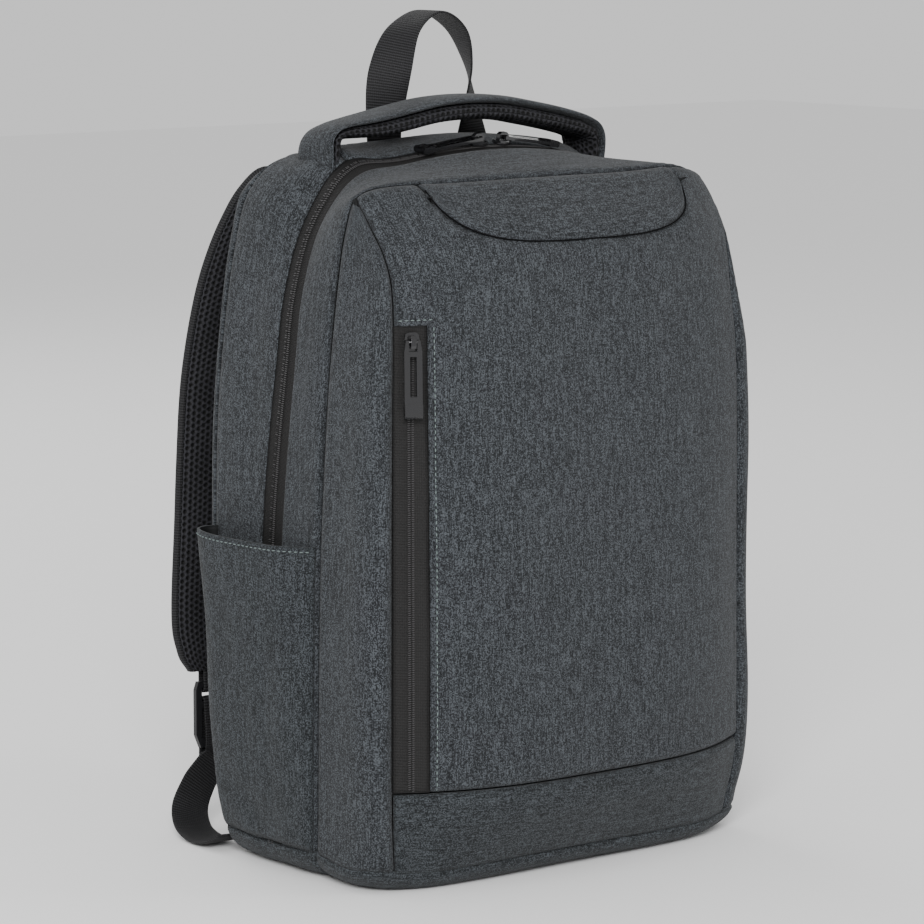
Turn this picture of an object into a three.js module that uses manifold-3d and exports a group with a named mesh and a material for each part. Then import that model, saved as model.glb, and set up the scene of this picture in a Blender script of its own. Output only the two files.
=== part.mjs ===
// Laptop backpack in heathered polyester, standing closed on its base. Millimetres.
// +X is the viewer's right, the front faces -Y, +Z is up; the origin is the middle of the flat of the base.
import * as THREE from "three";
import { mergeVertices } from "three/addons/utils/BufferGeometryUtils.js";
import Module from "manifold-3d";

const wasm = await Module();
wasm.setup();

// Body
const BODY_WIDTH = 300;
const BODY_HEIGHT = 435; // floor to the crest of the top
const BODY_DEPTH = 153; // back panel seam to the side seams of the front face
const WALL = 2.5; // fabric with its foam backing
const SEAM_GAP = 0.4;
const CREST_RISE = 5; // how far the rear gusset arches between its seams
const SIDE_RISE = 1.5;
const FACE_SWELL = 30; // how far the packed front face stands proud of its side seams
const FOLD_ROLL = 0.2; // roll of the fold strips, as a share of their width
const FOLD_EASE = 0.22; // share of the height over which that roll dies away to the top
const BACK_PADDING = 8;
const BACK_SWELL = 4;

// Base tray
const BASE_RIM = 16; // height of the seam at the sides
const BASE_CORNER = 26; // width of the curved edge round the flat of the base

// Front face
const BAND_HEIGHT = 61;
const YOKE_WIDTH = 196;
const YOKE_DROP = 56; // crest of the top down to the foot of the yoke
const TAPE_WIDTH = 20;
const TAPE_RECESS = 0.8;
const COIL_WIDTH = 5.5;
const COIL_HEIGHT = 1.6;
const FRONT_ZIP_DROP = 100; // crest of the top down to the top of the front zipper
const FRONT_TAPE_WIDTH = 18.5;

// Bottle pockets
const POCKET_TOP = 201;
const POCKET_BULGE = 16;
const POCKET_WALL = 2;
const POCKET_EDGE = 1; // pocket edge to the seam that it is sewn beside
const POCKET_LIFT = 3; // how much higher the mouth is at the back

// Carry handle
const HANDLE_LENGTH = 212;
const HANDLE_WIDTH = 34;
const HANDLE_Y = 27.5;
const HANDLE_RISE = 19; // from the crest of the top to the seam between the handle's top and its pad
const HANDLE_TOP_THICK = 5.5;
const HANDLE_PAD_THICK = 9.5;
const SEWN_DEPTH = 8; // of the stand-in body that the handle and loop are cut off by

// Haul loop
const LOOP_WIDTH = 26;
const LOOP_SPAN = 71;
const LOOP_RISE = 76; // from the crest of the top to the middle of its webbing
const LOOP_Y = 58;
const WEBBING_THICK = 1.8;

// Shoulder straps
const STRAP_WIDTH = 70;
const STRAP_FABRIC_THICK = 5;
const STRAP_MESH_THICK = 6;
const STRAP_BOW = 61; // how far the straps bow out behind the back panel
const STRAP_SPREAD = 95; // strap centre line from the middle of the back
const WEBBING_WIDTH = 25;
const LOCK_WIDTH = 36;
const LOCK_HEIGHT = 42;
const LOCK_THICK = 6;
const LOCK_BAR = 4;
const LOCK_SLOT = 9;
const TAB_LENGTH = 7; // of webbing between a strap's end and its lock
const WEBBING_TAIL = 14; // of webbing left below the lock
const WEBBING_LEAD = 3; // of webbing that leaves the lock straight
const WEBBING_SEAT = 1.5; // webbing's foot to the face of the back panel

// Sliders and pullers
const SLIDER_LENGTH = 11;
const SLIDER_WIDTH = 9;
const SLIDER_THICK = 2.2;
const CROWN_WIDTH = 3.2;
const CROWN_WALL = 1.6;
const PIN_RADIUS = 1;
const PIN_CLEAR = 0.45;
const PULLER_LENGTH = 45;
const PULLER_WIDTH = 10.7;
const PULLER_THICK = 2;
const PULLER_BLOCK = 9.5; // length of the thick end of a puller
const PULLER_BLOCK_THICK = 4;
const PULLER_RIM = 3; // of metal at each end of a puller's slot
const MAIN_SLIDER_X = 9.5;
const TOP_PULLER_DROOP = 5.2; // degrees below the tape's line, where the puller lies on the coil
const FRONT_SLIDER_DROP = 9; // top of the front zipper down to the middle of its slider
const COIL_STOP = 2; // end of the front tape to the end of its coil
const GAP = 0.3; // between pieces that touch on the real bag
const YOKE_FOOT = BODY_HEIGHT - YOKE_DROP;
const FRONT_ZIP_TOP = BODY_HEIGHT - FRONT_ZIP_DROP;

const RING_SIDE = 14; // grid steps up each side
const RING_TOP = 16; // grid steps over the top
const HANDLE_STEPS = 22;
const LOOP_STEPS = 24;
const STRAP_STEPS = 22;
const WEBBING_STEPS = 16;

// Sections of the four seams that ring the body, left half, from the base up to the middle of the top.
// wide is a share of half the width, deep of the depth (front is negative), high of the height.
const BACK_SEAM = {
  corner: 7,
  rows: [
    { wide: 0.98, deep: 0.5, high: 0 },
    { wide: 1.0, deep: 0.51, high: 0.253 },
    { wide: 1.003, deep: 0.516, high: 0.46 },
    { wide: 0.997, deep: 0.516, high: 0.586 },
    { wide: 0.978, deep: 0.513, high: 0.685 },
    { wide: 0.945, deep: 0.507, high: 0.785 },
    { wide: 0.907, deep: 0.5, high: 0.86 },
    { wide: 0.86, deep: 0.49, high: 0.921 },
    { wide: 0.775, deep: 0.47, high: 0.958 },
    { wide: 0.62, deep: 0.45, high: 0.977 },
    { wide: 0.33, deep: 0.43, high: 0.985 },
    { wide: 0, deep: 0.42, high: 0.988 },
  ],
};
const ZIP_LINE = {
  corner: 6,
  rows: [
    { wide: 0.985, deep: 0.19, high: 0 },
    { wide: 0.997, deep: 0.18, high: 0.23 },
    { wide: 0.995, deep: 0.16, high: 0.46 },
    { wide: 0.993, deep: 0.122, high: 0.59 },
    { wide: 0.983, deep: 0.085, high: 0.7 },
    { wide: 0.955, deep: 0.072, high: 0.795 },
    { wide: 0.885, deep: 0.065, high: 0.874 },
    { wide: 0.8, deep: 0.058, high: 0.914 },
    { wide: 0.69, deep: 0.052, high: 0.94 },
    { wide: 0.44, deep: 0.033, high: 0.971 },
    { wide: 0.23, deep: 0.013, high: 0.983 },
    { wide: 0, deep: 0, high: 0.987 },
  ],
};
const FRONT_SEAM = {
  corner: 6,
  rows: [
    { wide: 0.98, deep: -0.09, high: 0 },
    { wide: 0.99, deep: -0.111, high: 0.253 },
    { wide: 0.987, deep: -0.124, high: 0.453 },
    { wide: 0.987, deep: -0.176, high: 0.671 },
    { wide: 0.973, deep: -0.216, high: 0.805 },
    { wide: 0.945, deep: -0.243, high: 0.89 },
    { wide: 0.904, deep: -0.252, high: 0.926 },
    { wide: 0.855, deep: -0.268, high: 0.937 },
    { wide: 0.78, deep: -0.296, high: 0.943 },
    { wide: 0.62, deep: -0.33, high: 0.949 },
    { wide: 0.33, deep: -0.36, high: 0.953 },
    { wide: 0, deep: -0.366, high: 0.954 },
  ],
};
// Left edge of the front face, from its foot up to the corner of the front seam.
const FACE_SEAM_ROWS = [
  { wide: 0.91, deep: -0.484, high: 0 },
  { wide: 0.917, deep: -0.49, high: 0.14 },
  { wide: 0.915, deep: -0.49, high: 0.4 },
  { wide: 0.91, deep: -0.49, high: 0.65 },
  { wide: 0.906, deep: -0.489, high: 0.76 },
  { wide: 0.911, deep: -0.48, high: 0.83 },
  { wide: 0.918, deep: -0.44, high: 0.868 },
  { wide: 0.915, deep: -0.365, high: 0.897 },
  { wide: 0.908, deep: -0.3, high: 0.917 },
];
const FACE_FOOT = 9; // lower edge of the front face at its corners
const FOOT_LIFT = 3; // and how much higher that edge is in the middle
// Swell of the face up its middle: up is a share of its height, out of FACE_SWELL.
const SWELL_ROWS = [
  { up: 0, out: 0.36 },
  { up: 0.05, out: 0.72 },
  { up: 0.12, out: 1.0 },
  { up: 0.28, out: 0.95 },
  { up: 0.46, out: 0.77 },
  { up: 0.65, out: 0.5 },
  { up: 0.8, out: 0.26 },
  { up: 0.9, out: 0.1 },
  { up: 1, out: 0 },
];
// Roll of a fold strip, from the face seam back to the front seam.
const ROLL_ROWS = [
  { along: 0, out: 0 },
  { along: 0.04, out: 0.62 },
  { along: 0.14, out: 1.0 },
  { along: 0.32, out: 0.97 },
  { along: 0.56, out: 0.68 },
  { along: 0.81, out: 0.3 },
  { along: 1, out: 0 },
];
// Bulge of a bottle pocket, from its front edge back: out of POCKET_BULGE.
const POCKET_ROWS = [
  { back: 0, out: 0 },
  { back: 0.06, out: 0.2 },
  { back: 0.14, out: 0.46 },
  { back: 0.24, out: 0.74 },
  { back: 0.38, out: 0.94 },
  { back: 0.54, out: 1.0 },
  { back: 0.7, out: 1.0 },
  { back: 0.83, out: 0.97 },
  { back: 0.92, out: 0.88 },
  { back: 0.97, out: 0.7 },
  { back: 1, out: 0 },
];
// Line of the handle from its middle out: along is a share of its half length, drop of its height.
const HANDLE_ROWS = [
  { along: 0, drop: 0 },
  { along: 0.25, drop: 0.04 },
  { along: 0.45, drop: 0.14 },
  { along: 0.62, drop: 0.24 },
  { along: 0.76, drop: 0.34 },
  { along: 0.88, drop: 0.45 },
  { along: 0.955, drop: 0.57 },
  { along: 0.99, drop: 0.76 },
  { along: 0.99, drop: 1 },
];
// Haul loop from its left end: wide is a share of half its span, high of its rise.
const LOOP_ROWS = [
  { wide: -1, high: 0 },
  { wide: -0.98, high: 0.25 },
  { wide: -0.86, high: 0.55 },
  { wide: -0.54, high: 0.85 },
  { wide: 0.08, high: 1 },
  { wide: 0.74, high: 0.86 },
  { wide: 1.06, high: 0.58 },
  { wide: 1.08, high: 0.28 },
  { wide: 1, high: 0 },
];
// Left shoulder strap from its sewn end down to the adjuster: wide is a share of STRAP_SPREAD,
// back of STRAP_BOW, high of the height.
const STRAP_ROWS = [
  { wide: 0.59, back: 0, high: 0.934 },
  { wide: 0.65, back: 0.07, high: 0.948 },
  { wide: 0.76, back: 0.15, high: 0.949 },
  { wide: 0.86, back: 0.235, high: 0.925 },
  { wide: 0.93, back: 0.34, high: 0.883 },
  { wide: 0.97, back: 0.48, high: 0.823 },
  { wide: 0.99, back: 0.63, high: 0.75 },
  { wide: 1.0, back: 0.79, high: 0.65 },
  { wide: 1.0, back: 0.88, high: 0.54 },
  { wide: 1.0, back: 0.94, high: 0.43 },
  { wide: 1.01, back: 0.98, high: 0.32 },
  { wide: 1.03, back: 0.97, high: 0.23 },
];
const STRAP_WIDTH_ROWS = [
  { along: 0, wide: 0.8, thick: 0.5 },
  { along: 0.08, wide: 0.82, thick: 0.6 },
  { along: 0.15, wide: 0.87, thick: 0.85 },
  { along: 0.3, wide: 1, thick: 1 },
  { along: 0.7, wide: 1, thick: 1 },
  { along: 0.9, wide: 0.98, thick: 1 },
  { along: 0.96, wide: 0.85, thick: 0.95 },
  { along: 1, wide: 0.6, thick: 0.7 },
];
// Lower webbing below the lock: out is a share of the way to its foot, back of the way to the lock,
// high of the height of the lock's foot.
const WEBBING_ROWS = [
  { out: 0.12, back: 1.0, high: 0.78 },
  { out: 0.38, back: 1.02, high: 0.52 },
  { out: 0.62, back: 0.96, high: 0.26 },
  { out: 0.82, back: 0.76, high: 0.08 },
  { out: 0.94, back: 0.46, high: 0.0 },
  { out: 1.0, back: 0.16, high: 0.03 },
];

// Colours
const FINISHES = {
  shell_fabric: { color: 0x4a4f52, roughness: 0.95, metalness: 0 },
  zip_tape: { color: 0x2b2b2d, roughness: 0.85, metalness: 0 },
  zip_coil: { color: 0x1a1a1b, roughness: 0.45, metalness: 0 },
  air_mesh: { color: 0x121214, roughness: 0.9, metalness: 0 },
  webbing: { color: 0x2a2a2c, roughness: 0.8, metalness: 0 },
  buckle_plastic: { color: 0x242426, roughness: 0.4, metalness: 0 },
  slider_metal: { color: 0x151517, roughness: 0.2, metalness: 0.8 },
};

const group = new THREE.Group();
const vec = (x, y, z) => new THREE.Vector3(x, y, z);
const mirrored = (p) => vec(-p.x, p.y, p.z);
const lerp = (a, b, t) => a + (b - a) * t;
const mix = (p, q, t) => p.clone().lerp(q, t);
const clamp = (v, lo, hi) => Math.min(hi, Math.max(lo, v));

// Smooth value of a table's column at a place in its key column.
function table(rows, key, column, at) {
  const last = rows.length - 1;
  let i = rows.findIndex((row) => row[key] >= at);
  i = clamp(i < 0 ? last : i, 1, last);
  const t = clamp((at - rows[i - 1][key]) / (rows[i][key] - rows[i - 1][key]), 0, 1);
  return lerp(rows[i - 1][column], rows[i][column], t);
}

function signedVolume(vertices, triangles) {
  let sum = 0;
  for (let i = 0; i < triangles.length; i += 3) {
    const [a, b, c] = [0, 1, 2].map((k) => vertices[triangles[i + k]]);
    sum += a.dot(b.clone().cross(c));
  }
  return sum / 6;
}

function geometryOf(vertices, triangles) {
  const outward = signedVolume(vertices, triangles) > 0;
  const index = [];
  for (let i = 0; i < triangles.length; i += 3) {
    const [a, b, c] = triangles.slice(i, i + 3);
    index.push(a, outward ? b : c, outward ? c : b);
  }
  const geometry = new THREE.BufferGeometry().setFromPoints(vertices);
  geometry.setIndex(index);
  geometry.computeVertexNormals();
  return geometry;
}

// Closed wall between an outer and an inner grid of points with the same rows and columns.
function wallBetween(outer, inner) {
  const rows = outer.length;
  const columns = outer[0].length;
  const vertices = [...outer.flat(), ...inner.flat()];
  const triangles = [];
  const at = (side, j, i) => side * rows * columns + j * columns + i;
  const quad = (a, b, c, d) => triangles.push(a, b, c, a, c, d);
  for (let j = 0; j < rows - 1; j++) {
    for (let i = 0; i < columns - 1; i++) {
      quad(at(0, j, i), at(0, j, i + 1), at(0, j + 1, i + 1), at(0, j + 1, i));
      quad(at(1, j, i), at(1, j + 1, i), at(1, j + 1, i + 1), at(1, j, i + 1));
    }
  }
  for (let i = 0; i < columns - 1; i++) {
    quad(at(0, 0, i), at(1, 0, i), at(1, 0, i + 1), at(0, 0, i + 1));
    quad(at(0, rows - 1, i), at(0, rows - 1, i + 1), at(1, rows - 1, i + 1), at(1, rows - 1, i));
  }
  for (let j = 0; j < rows - 1; j++) {
    quad(at(0, j, 0), at(0, j + 1, 0), at(1, j + 1, 0), at(1, j, 0));
    const end = columns - 1;
    quad(at(0, j, end), at(1, j, end), at(1, j + 1, end), at(0, j + 1, end));
  }
  return geometryOf(vertices, triangles);
}

// Solid swept through frames {place, across, out}; section is a convex loop of [across, out] offsets.
function sweep(frames, sectionAt) {
  const vertices = [];
  const triangles = [];
  const loops = frames.map((frame, k) => sectionAt(k / (frames.length - 1)));
  const sides = loops[0].length;
  frames.forEach((frame, k) => {
    for (const [a, o] of loops[k])
      vertices.push(
        frame.place.clone().addScaledVector(frame.across, a).addScaledVector(frame.out, o),
      );
  });
  for (let k = 0; k < frames.length - 1; k++) {
    for (let s = 0; s < sides; s++) {
      const [a, b] = [k * sides + s, k * sides + ((s + 1) % sides)];
      triangles.push(a, b, b + sides, a, b + sides, a + sides);
    }
  }
  const end = (frames.length - 1) * sides;
  for (let s = 1; s < sides - 1; s++) {
    triangles.push(0, s + 1, s);
    triangles.push(end, end + s, end + s + 1);
  }
  return geometryOf(vertices, triangles);
}

// Flattened oval section of a band or pad: width across, from low to high in the out direction.
function padSection(width, low, high) {
  const [w, mid, half] = [width / 2, (low + high) / 2, (high - low) / 2];
  const points = [
    [1, 0.35],
    [0.86, 0.86],
    [0.45, 1],
  ];
  const right = points.map(([a, o]) => [a * w, mid + o * half]);
  const left = points.map(([a, o]) => [-a * w, mid + o * half]).reverse();
  const upper = [...right, ...left];
  const lower = upper.map(([a, o]) => [-a, 2 * mid - o]);
  return [...upper, ...lower];
}

function bandSection(width, low, high) {
  const w = width / 2;
  return [
    [w, low],
    [w, high],
    [-w, high],
    [-w, low],
  ];
}

function solidOf(geometry) {
  const bare = geometry.clone();
  bare.deleteAttribute("normal");
  bare.deleteAttribute("uv");
  const merged = mergeVertices(bare, 1e-4);
  return new wasm.Manifold(
    new wasm.Mesh({
      numProp: 3,
      vertProperties: new Float32Array(merged.attributes.position.array),
      triVerts: new Uint32Array(merged.index.array),
    }),
  );
}

function geometryFrom(solid) {
  const mesh = solid.getMesh();
  const geometry = new THREE.BufferGeometry();
  geometry.setAttribute("position", new THREE.BufferAttribute(mesh.vertProperties, 3));
  geometry.setIndex(new THREE.BufferAttribute(mesh.triVerts, 1));
  geometry.computeVertexNormals();
  return geometry;
}

function addPart(name, geometry, finish) {
  const material = new THREE.MeshStandardMaterial({ ...FINISHES[finish], name: finish });
  const mesh = new THREE.Mesh(geometry, material);
  mesh.name = name;
  group.add(mesh);
  return mesh;
}

// Rings of the body
const rowPoint = (row) =>
  vec(
    (-row.wide * BODY_WIDTH) / 2,
    row.deep * BODY_DEPTH,
    row.high > 0 ? row.high * BODY_HEIGHT : BASE_RIM,
  );

// Points spaced along a stretch of a curve; ease shapes where they crowd.
function spaced(curve, from, to, count, ease) {
  const fine = 240;
  const points = [];
  const lengths = [0];
  for (let i = 0; i <= fine; i++) points.push(curve.getPoint(lerp(from, to, i / fine)));
  for (let i = 1; i <= fine; i++)
    lengths.push(lengths[i - 1] + points[i].distanceTo(points[i - 1]));
  const total = lengths[fine];
  return Array.from({ length: count + 1 }, (_, k) => {
    const want = ease(k / count) * total;
    const i = clamp(
      lengths.findIndex((length) => length >= want),
      1,
      fine,
    );
    const t = (want - lengths[i - 1]) / (lengths[i] - lengths[i - 1]);
    return mix(points[i - 1], points[i], k === count && ease(1) === 1 ? 1 : t);
  });
}

const crowdUp = (t) => Math.sin((t * Math.PI) / 2);
const crowdEnds = (t) => (1 - Math.cos(t * Math.PI)) / 2;

// Ring points: up the left side, over the top and down the right side.
function ringPoints(seam) {
  const left = seam.rows.map(rowPoint);
  const right = left.slice(0, -1).map(mirrored).reverse();
  const curve = new THREE.CatmullRomCurve3([...left, ...right], false, "centripetal");
  const corner = seam.corner / (2 * (seam.rows.length - 1));
  const side = spaced(curve, 0, corner, RING_SIDE, crowdUp);
  const top = spaced(curve, corner, 1 - corner, RING_TOP, crowdEnds);
  return [...side, ...top.slice(1, -1), ...side.map(mirrored).reverse()];
}

const backSeam = ringPoints(BACK_SEAM);
const zipLine = ringPoints(ZIP_LINE);
const frontSeam = ringPoints(FRONT_SEAM);
const RING = backSeam.length - 1;

const tangentAt = (points, i) =>
  points[Math.min(i + 1, points.length - 1)]
    .clone()
    .sub(points[Math.max(i - 1, 0)])
    .normalize();

// Unit vectors at each point of the zipper's line: along it, across it towards the back, and out.
const zipFrames = zipLine.map((place, i) => {
  const along = tangentAt(zipLine, i);
  const across = backSeam[i].clone().sub(frontSeam[i]);
  across.addScaledVector(along, -across.dot(along)).normalize();
  const out = across.clone().cross(along).normalize();
  if (out.dot(vec(place.x, 0, place.z - BODY_HEIGHT / 2)) < 0) out.negate();
  if (i === 0 || i === zipLine.length - 1) {
    across.setZ(0).normalize();
    out.setZ(0).normalize();
  }
  return { place, along, across, out };
});
const zipRear = zipFrames.map((f) => f.place.clone().addScaledVector(f.across, TAPE_WIDTH / 2));
const zipFront = zipFrames.map((f) => f.place.clone().addScaledVector(f.across, -TAPE_WIDTH / 2));

// Grid across from one ring to another, arched outwards by rise between them.
function stripGrid(from, to, steps, riseAt) {
  return Array.from({ length: steps + 1 }, (_, j) => {
    const t = j / steps;
    return from.map((p, i) => {
      const chord = to[i].clone().sub(p);
      const out = chord.clone().cross(tangentAt(from, i)).normalize();
      if (out.dot(vec(p.x, 0, p.z - BODY_HEIGHT / 2)) < 0) out.negate();
      if (i === 0 || i === from.length - 1) out.setZ(0).normalize();
      return mix(p, to[i], t).addScaledVector(out, 4 * t * (1 - t) * riseAt(i));
    });
  });
}

// Outward unit normals at the points of a grid.
function gridNormals(grid, outwards) {
  const [rows, columns] = [grid.length, grid[0].length];
  return grid.map((line, j) =>
    line.map((p, i) => {
      const du = line[Math.min(i + 1, columns - 1)].clone().sub(line[Math.max(i - 1, 0)]);
      const dv = grid[Math.min(j + 1, rows - 1)][i].clone().sub(grid[Math.max(j - 1, 0)][i]);
      const normal = du.cross(dv).normalize();
      return normal.dot(outwards(p)) < 0 ? normal.negate() : normal;
    }),
  );
}
const fromMiddle = (p) => vec(p.x, 0, p.z - BODY_HEIGHT / 2);

// Inset that keeps the wall's thickness on both sides of a seam.
const mitre = (a, b) =>
  a
    .clone()
    .add(b)
    .divideScalar(Math.max(1 + a.dot(b), 0.5));

// Grid pulled back from its seams by half a seam gap on the rows named.
function trimmed(grid, first, last) {
  const out = grid.map((line) => line.map((p) => p.clone()));
  const rows = grid.length;
  grid[0].forEach((_, i) => {
    const pull = (a, b) =>
      grid[b][i]
        .clone()
        .sub(grid[a][i])
        .setLength(SEAM_GAP / 2);
    if (first) out[0][i].add(pull(0, 1));
    if (last) out[rows - 1][i].add(pull(rows - 1, rows - 2));
  });
  return out;
}

const insetGrid = (grid, insets, wall) =>
  grid.map((line, j) => line.map((p, i) => p.clone().addScaledVector(insets[j][i], -wall)));

// How far over the top a ring point is, from 0 low on the side to 1 on the top.
const topShare = (i) => {
  const side = Math.min(i, RING - i);
  return clamp((side - RING_SIDE * 0.6) / (RING_SIDE * 0.6), 0, 1);
};
const rearGrid = stripGrid(backSeam, zipRear, 4, (i) => lerp(SIDE_RISE, CREST_RISE, topShare(i)));
const frontGrid = stripGrid(zipFront, frontSeam, 3, () => SIDE_RISE);
const rearNormals = gridNormals(rearGrid, fromMiddle);
const frontNormals = gridNormals(frontGrid, fromMiddle);

// Fold strips, left then mirrored
const faceCorner = frontSeam[RING_SIDE];
const faceSeamCurve = new THREE.CatmullRomCurve3(
  [
    ...FACE_SEAM_ROWS.map((row) => {
      const p = rowPoint(row);
      return row.high > 0 ? p : p.setZ(FACE_FOOT);
    }),
    faceCorner.clone(),
  ],
  false,
  "centripetal",
);
const faceSeam = spaced(faceSeamCurve, 0, 1, RING_SIDE, crowdUp);
const foldSeam = frontSeam.slice(0, RING_SIDE + 1);
// The strip stops short of the corner where the two seams run together.
const FOLD_STEPS = RING_SIDE - 1;
const FOLD_THINNING = 0.4; // and thins towards it
const foldGrid = ROLL_ROWS.map(({ along, out }) =>
  faceSeam.slice(0, FOLD_STEPS + 1).map((p, i) => {
    const chord = foldSeam[i].clone().sub(p);
    const side = chord
      .clone()
      .cross(vec(0, 0, 1))
      .normalize();
    if (side.x > 0) side.negate();
    const ease = clamp((faceCorner.z - p.z) / (FOLD_EASE * BODY_HEIGHT), 0, 1);
    const roll = out * FOLD_ROLL * ease * chord.length();
    return mix(p, foldSeam[i], along).addScaledVector(side, roll);
  }),
);
const foldNormals = gridNormals(foldGrid, () => vec(-1, -0.3, 0));

// Front face: a patch between its side seams, its foot and the front seam, swollen forwards.
const FACE_STEPS = 20;
const faceFoot = Array.from({ length: FACE_STEPS + 1 }, (_, k) => {
  const u = (2 * k) / FACE_STEPS - 1;
  const { x, y, z } = faceSeam[0];
  return vec(u * Math.abs(x), y, z + FOOT_LIFT * (1 - u * u));
});
const topStretch = frontSeam.slice(RING_SIDE, RING - RING_SIDE + 1);
const faceTop = Array.from({ length: FACE_STEPS + 1 }, (_, k) => {
  const want = lerp(topStretch[0].x, -topStretch[0].x, k / FACE_STEPS);
  const i = clamp(
    topStretch.findIndex((p) => p.x >= want - 1e-6),
    1,
    topStretch.length - 1,
  );
  const [a, b] = [topStretch[i - 1], topStretch[i]];
  return mix(a, b, clamp((want - a.x) / (b.x - a.x), 0, 1));
});

function facePoint(j, k) {
  const v = j / RING_SIDE;
  const u = k / FACE_STEPS;
  const [left, right] = [faceSeam[j], mirrored(faceSeam[j])];
  const height = (faceSeam[j].z - faceSeam[0].z) / (faceCorner.z - faceSeam[0].z);
  const along = mix(left, right, u);
  const up = mix(faceFoot[k], faceTop[k], height);
  const [bl, br] = [faceFoot[0], faceFoot[FACE_STEPS]];
  const [tl, tr] = [faceTop[0], faceTop[FACE_STEPS]];
  const flat = mix(mix(bl, br, u), mix(tl, tr, u), height);
  const p = along.add(up).sub(flat);
  const swell = FACE_SWELL * table(SWELL_ROWS, "up", "out", v === 1 ? 1 : height);
  p.y -= swell * (1 - Math.abs(2 * u - 1) ** 3);
  return p;
}
const faceGrid = Array.from({ length: RING_SIDE + 1 }, (_, j) =>
  Array.from({ length: FACE_STEPS + 1 }, (_, k) => facePoint(j, k)),
);
const faceNormals = gridNormals(faceGrid, () => vec(0, -1, 0.2));

// Mitred insets at the seams that two pieces share
const flatten = (n, axis) => {
  const m = n.clone();
  m[axis] = 0;
  return m.normalize();
};
rearNormals[0].forEach((n, i) => (rearNormals[0][i] = flatten(n, "y")));
for (let i = 0; i <= RING; i++) {
  const [last, out] = [rearNormals.length - 1, zipFrames[i].out];
  rearNormals[last][i] = mitre(rearNormals[last][i], out);
  frontNormals[0][i] = mitre(frontNormals[0][i], out);
}
const seamLast = frontNormals.length - 1;
const foldLast = foldGrid.length - 1;
for (let i = 0; i <= FOLD_STEPS; i++) {
  const shared = mitre(frontNormals[seamLast][i], foldNormals[foldLast][i]);
  frontNormals[seamLast][i] = shared;
  frontNormals[seamLast][RING - i] = mirrored(shared);
  foldNormals[foldLast][i] = shared;
  const corner = mitre(foldNormals[0][i], faceNormals[i][0]);
  foldNormals[0][i] = corner;
  faceNormals[i][0] = corner;
  faceNormals[i][FACE_STEPS] = mirrored(corner);
}
const topShared = frontNormals[seamLast]
  .slice(RING_SIDE, RING - RING_SIDE + 1)
  .map((n, i) => mitre(n, faceNormals[RING_SIDE][clamp(i + 2, 1, FACE_STEPS - 1)]));
topShared.forEach((n, i) => (frontNormals[seamLast][RING_SIDE + i] = n));
for (let k = 0; k <= FACE_STEPS; k++) {
  const i = Math.round((k / FACE_STEPS) * (topShared.length - 1));
  faceNormals[RING_SIDE][k] = topShared[i];
}
for (const normals of [rearNormals, frontNormals])
  for (const line of normals)
    for (const i of [0, RING]) line[i] = flatten(line[i], "z");
for (const line of foldNormals) line[0] = flatten(line[0], "z");
faceNormals[0] = faceNormals[0].map((n) => flatten(n, "z"));

function gusset(name, grid, normals, first, last) {
  const outer = trimmed(grid, first, last);
  addPart(name, wallBetween(outer, insetGrid(outer, normals, WALL)), "shell_fabric");
}
gusset("rear_gusset", rearGrid, rearNormals, false, true);
gusset("front_gusset", frontGrid, frontNormals, true, true);

const leftFold = trimmed(foldGrid, true, true);
const foldInsets = foldNormals.map((line) =>
  line.map((n, i) => n.clone().multiplyScalar(i < FOLD_STEPS - 1 ? 1 : FOLD_THINNING)),
);
const leftFoldInner = insetGrid(leftFold, foldInsets, WALL);
addPart("fold_left", wallBetween(leftFold, leftFoldInner), "shell_fabric");
const mirrorGrid = (grid) => grid.map((line) => line.map(mirrored));
addPart("fold_right", wallBetween(mirrorGrid(leftFold), mirrorGrid(leftFoldInner)), "shell_fabric");

// Main zipper
const tapeRim = (edge, sign) =>
  edge.map((p, i) =>
    p
      .clone()
      .addScaledVector(zipFrames[i].across, (-sign * SEAM_GAP) / 2)
      .addScaledVector(zipFrames[i].out, -TAPE_RECESS),
  );
const tapeOuter = [tapeRim(zipRear, 1), tapeRim(zipFront, -1)];
const tapeInner = tapeOuter.map((line) =>
  line.map((p, i) => p.clone().addScaledVector(zipFrames[i].out, -WALL / 2)),
);
addPart("main_zip_tape", wallBetween(tapeOuter, tapeInner), "zip_tape");
const coilLow = GAP - TAPE_RECESS;
addPart(
  "main_zip_coil",
  sweep(zipFrames, () => bandSection(COIL_WIDTH, coilLow, coilLow + COIL_HEIGHT)),
  "zip_coil",
);

// Back panel, padded, behind the rear gusset's edge
const BACK_STEPS = 10;
const backRows = backSeam.slice(0, RING / 2 + 1).filter((_, i) => i % 2 === 0 || i > RING_SIDE);
backRows.pop();
const backFront = backRows.map((p) =>
  Array.from({ length: BACK_STEPS + 1 }, (_, k) => {
    const u = (2 * k) / BACK_STEPS - 1;
    return vec(-p.x * u, p.y + GAP, p.z);
  }),
);
const backRear = backFront.map((line, j) =>
  line.map((p, k) => {
    const u = (2 * k) / BACK_STEPS - 1;
    const crown = (1 - u ** 4) * Math.sin((Math.PI * j) / (backFront.length - 1)) ** 0.5;
    return vec(p.x, p.y + BACK_PADDING + BACK_SWELL * crown, p.z);
  }),
);
addPart("back_panel", wallBetween(backRear, backFront), "shell_fabric");

// Front face, cut into its pieces
const faceOuter = faceGrid.map((line, j) =>
  line.map((p, k) => {
    const q = p.clone();
    if (k === 0) q.x += SEAM_GAP / 2;
    if (k === FACE_STEPS) q.x -= SEAM_GAP / 2;
    if (j === RING_SIDE) q.add(vec(0, -SEAM_GAP / 2, -SEAM_GAP / 2));
    return q;
  }),
);
const faceSolid = solidOf(wallBetween(faceOuter, insetGrid(faceOuter, faceNormals, WALL)));

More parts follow.
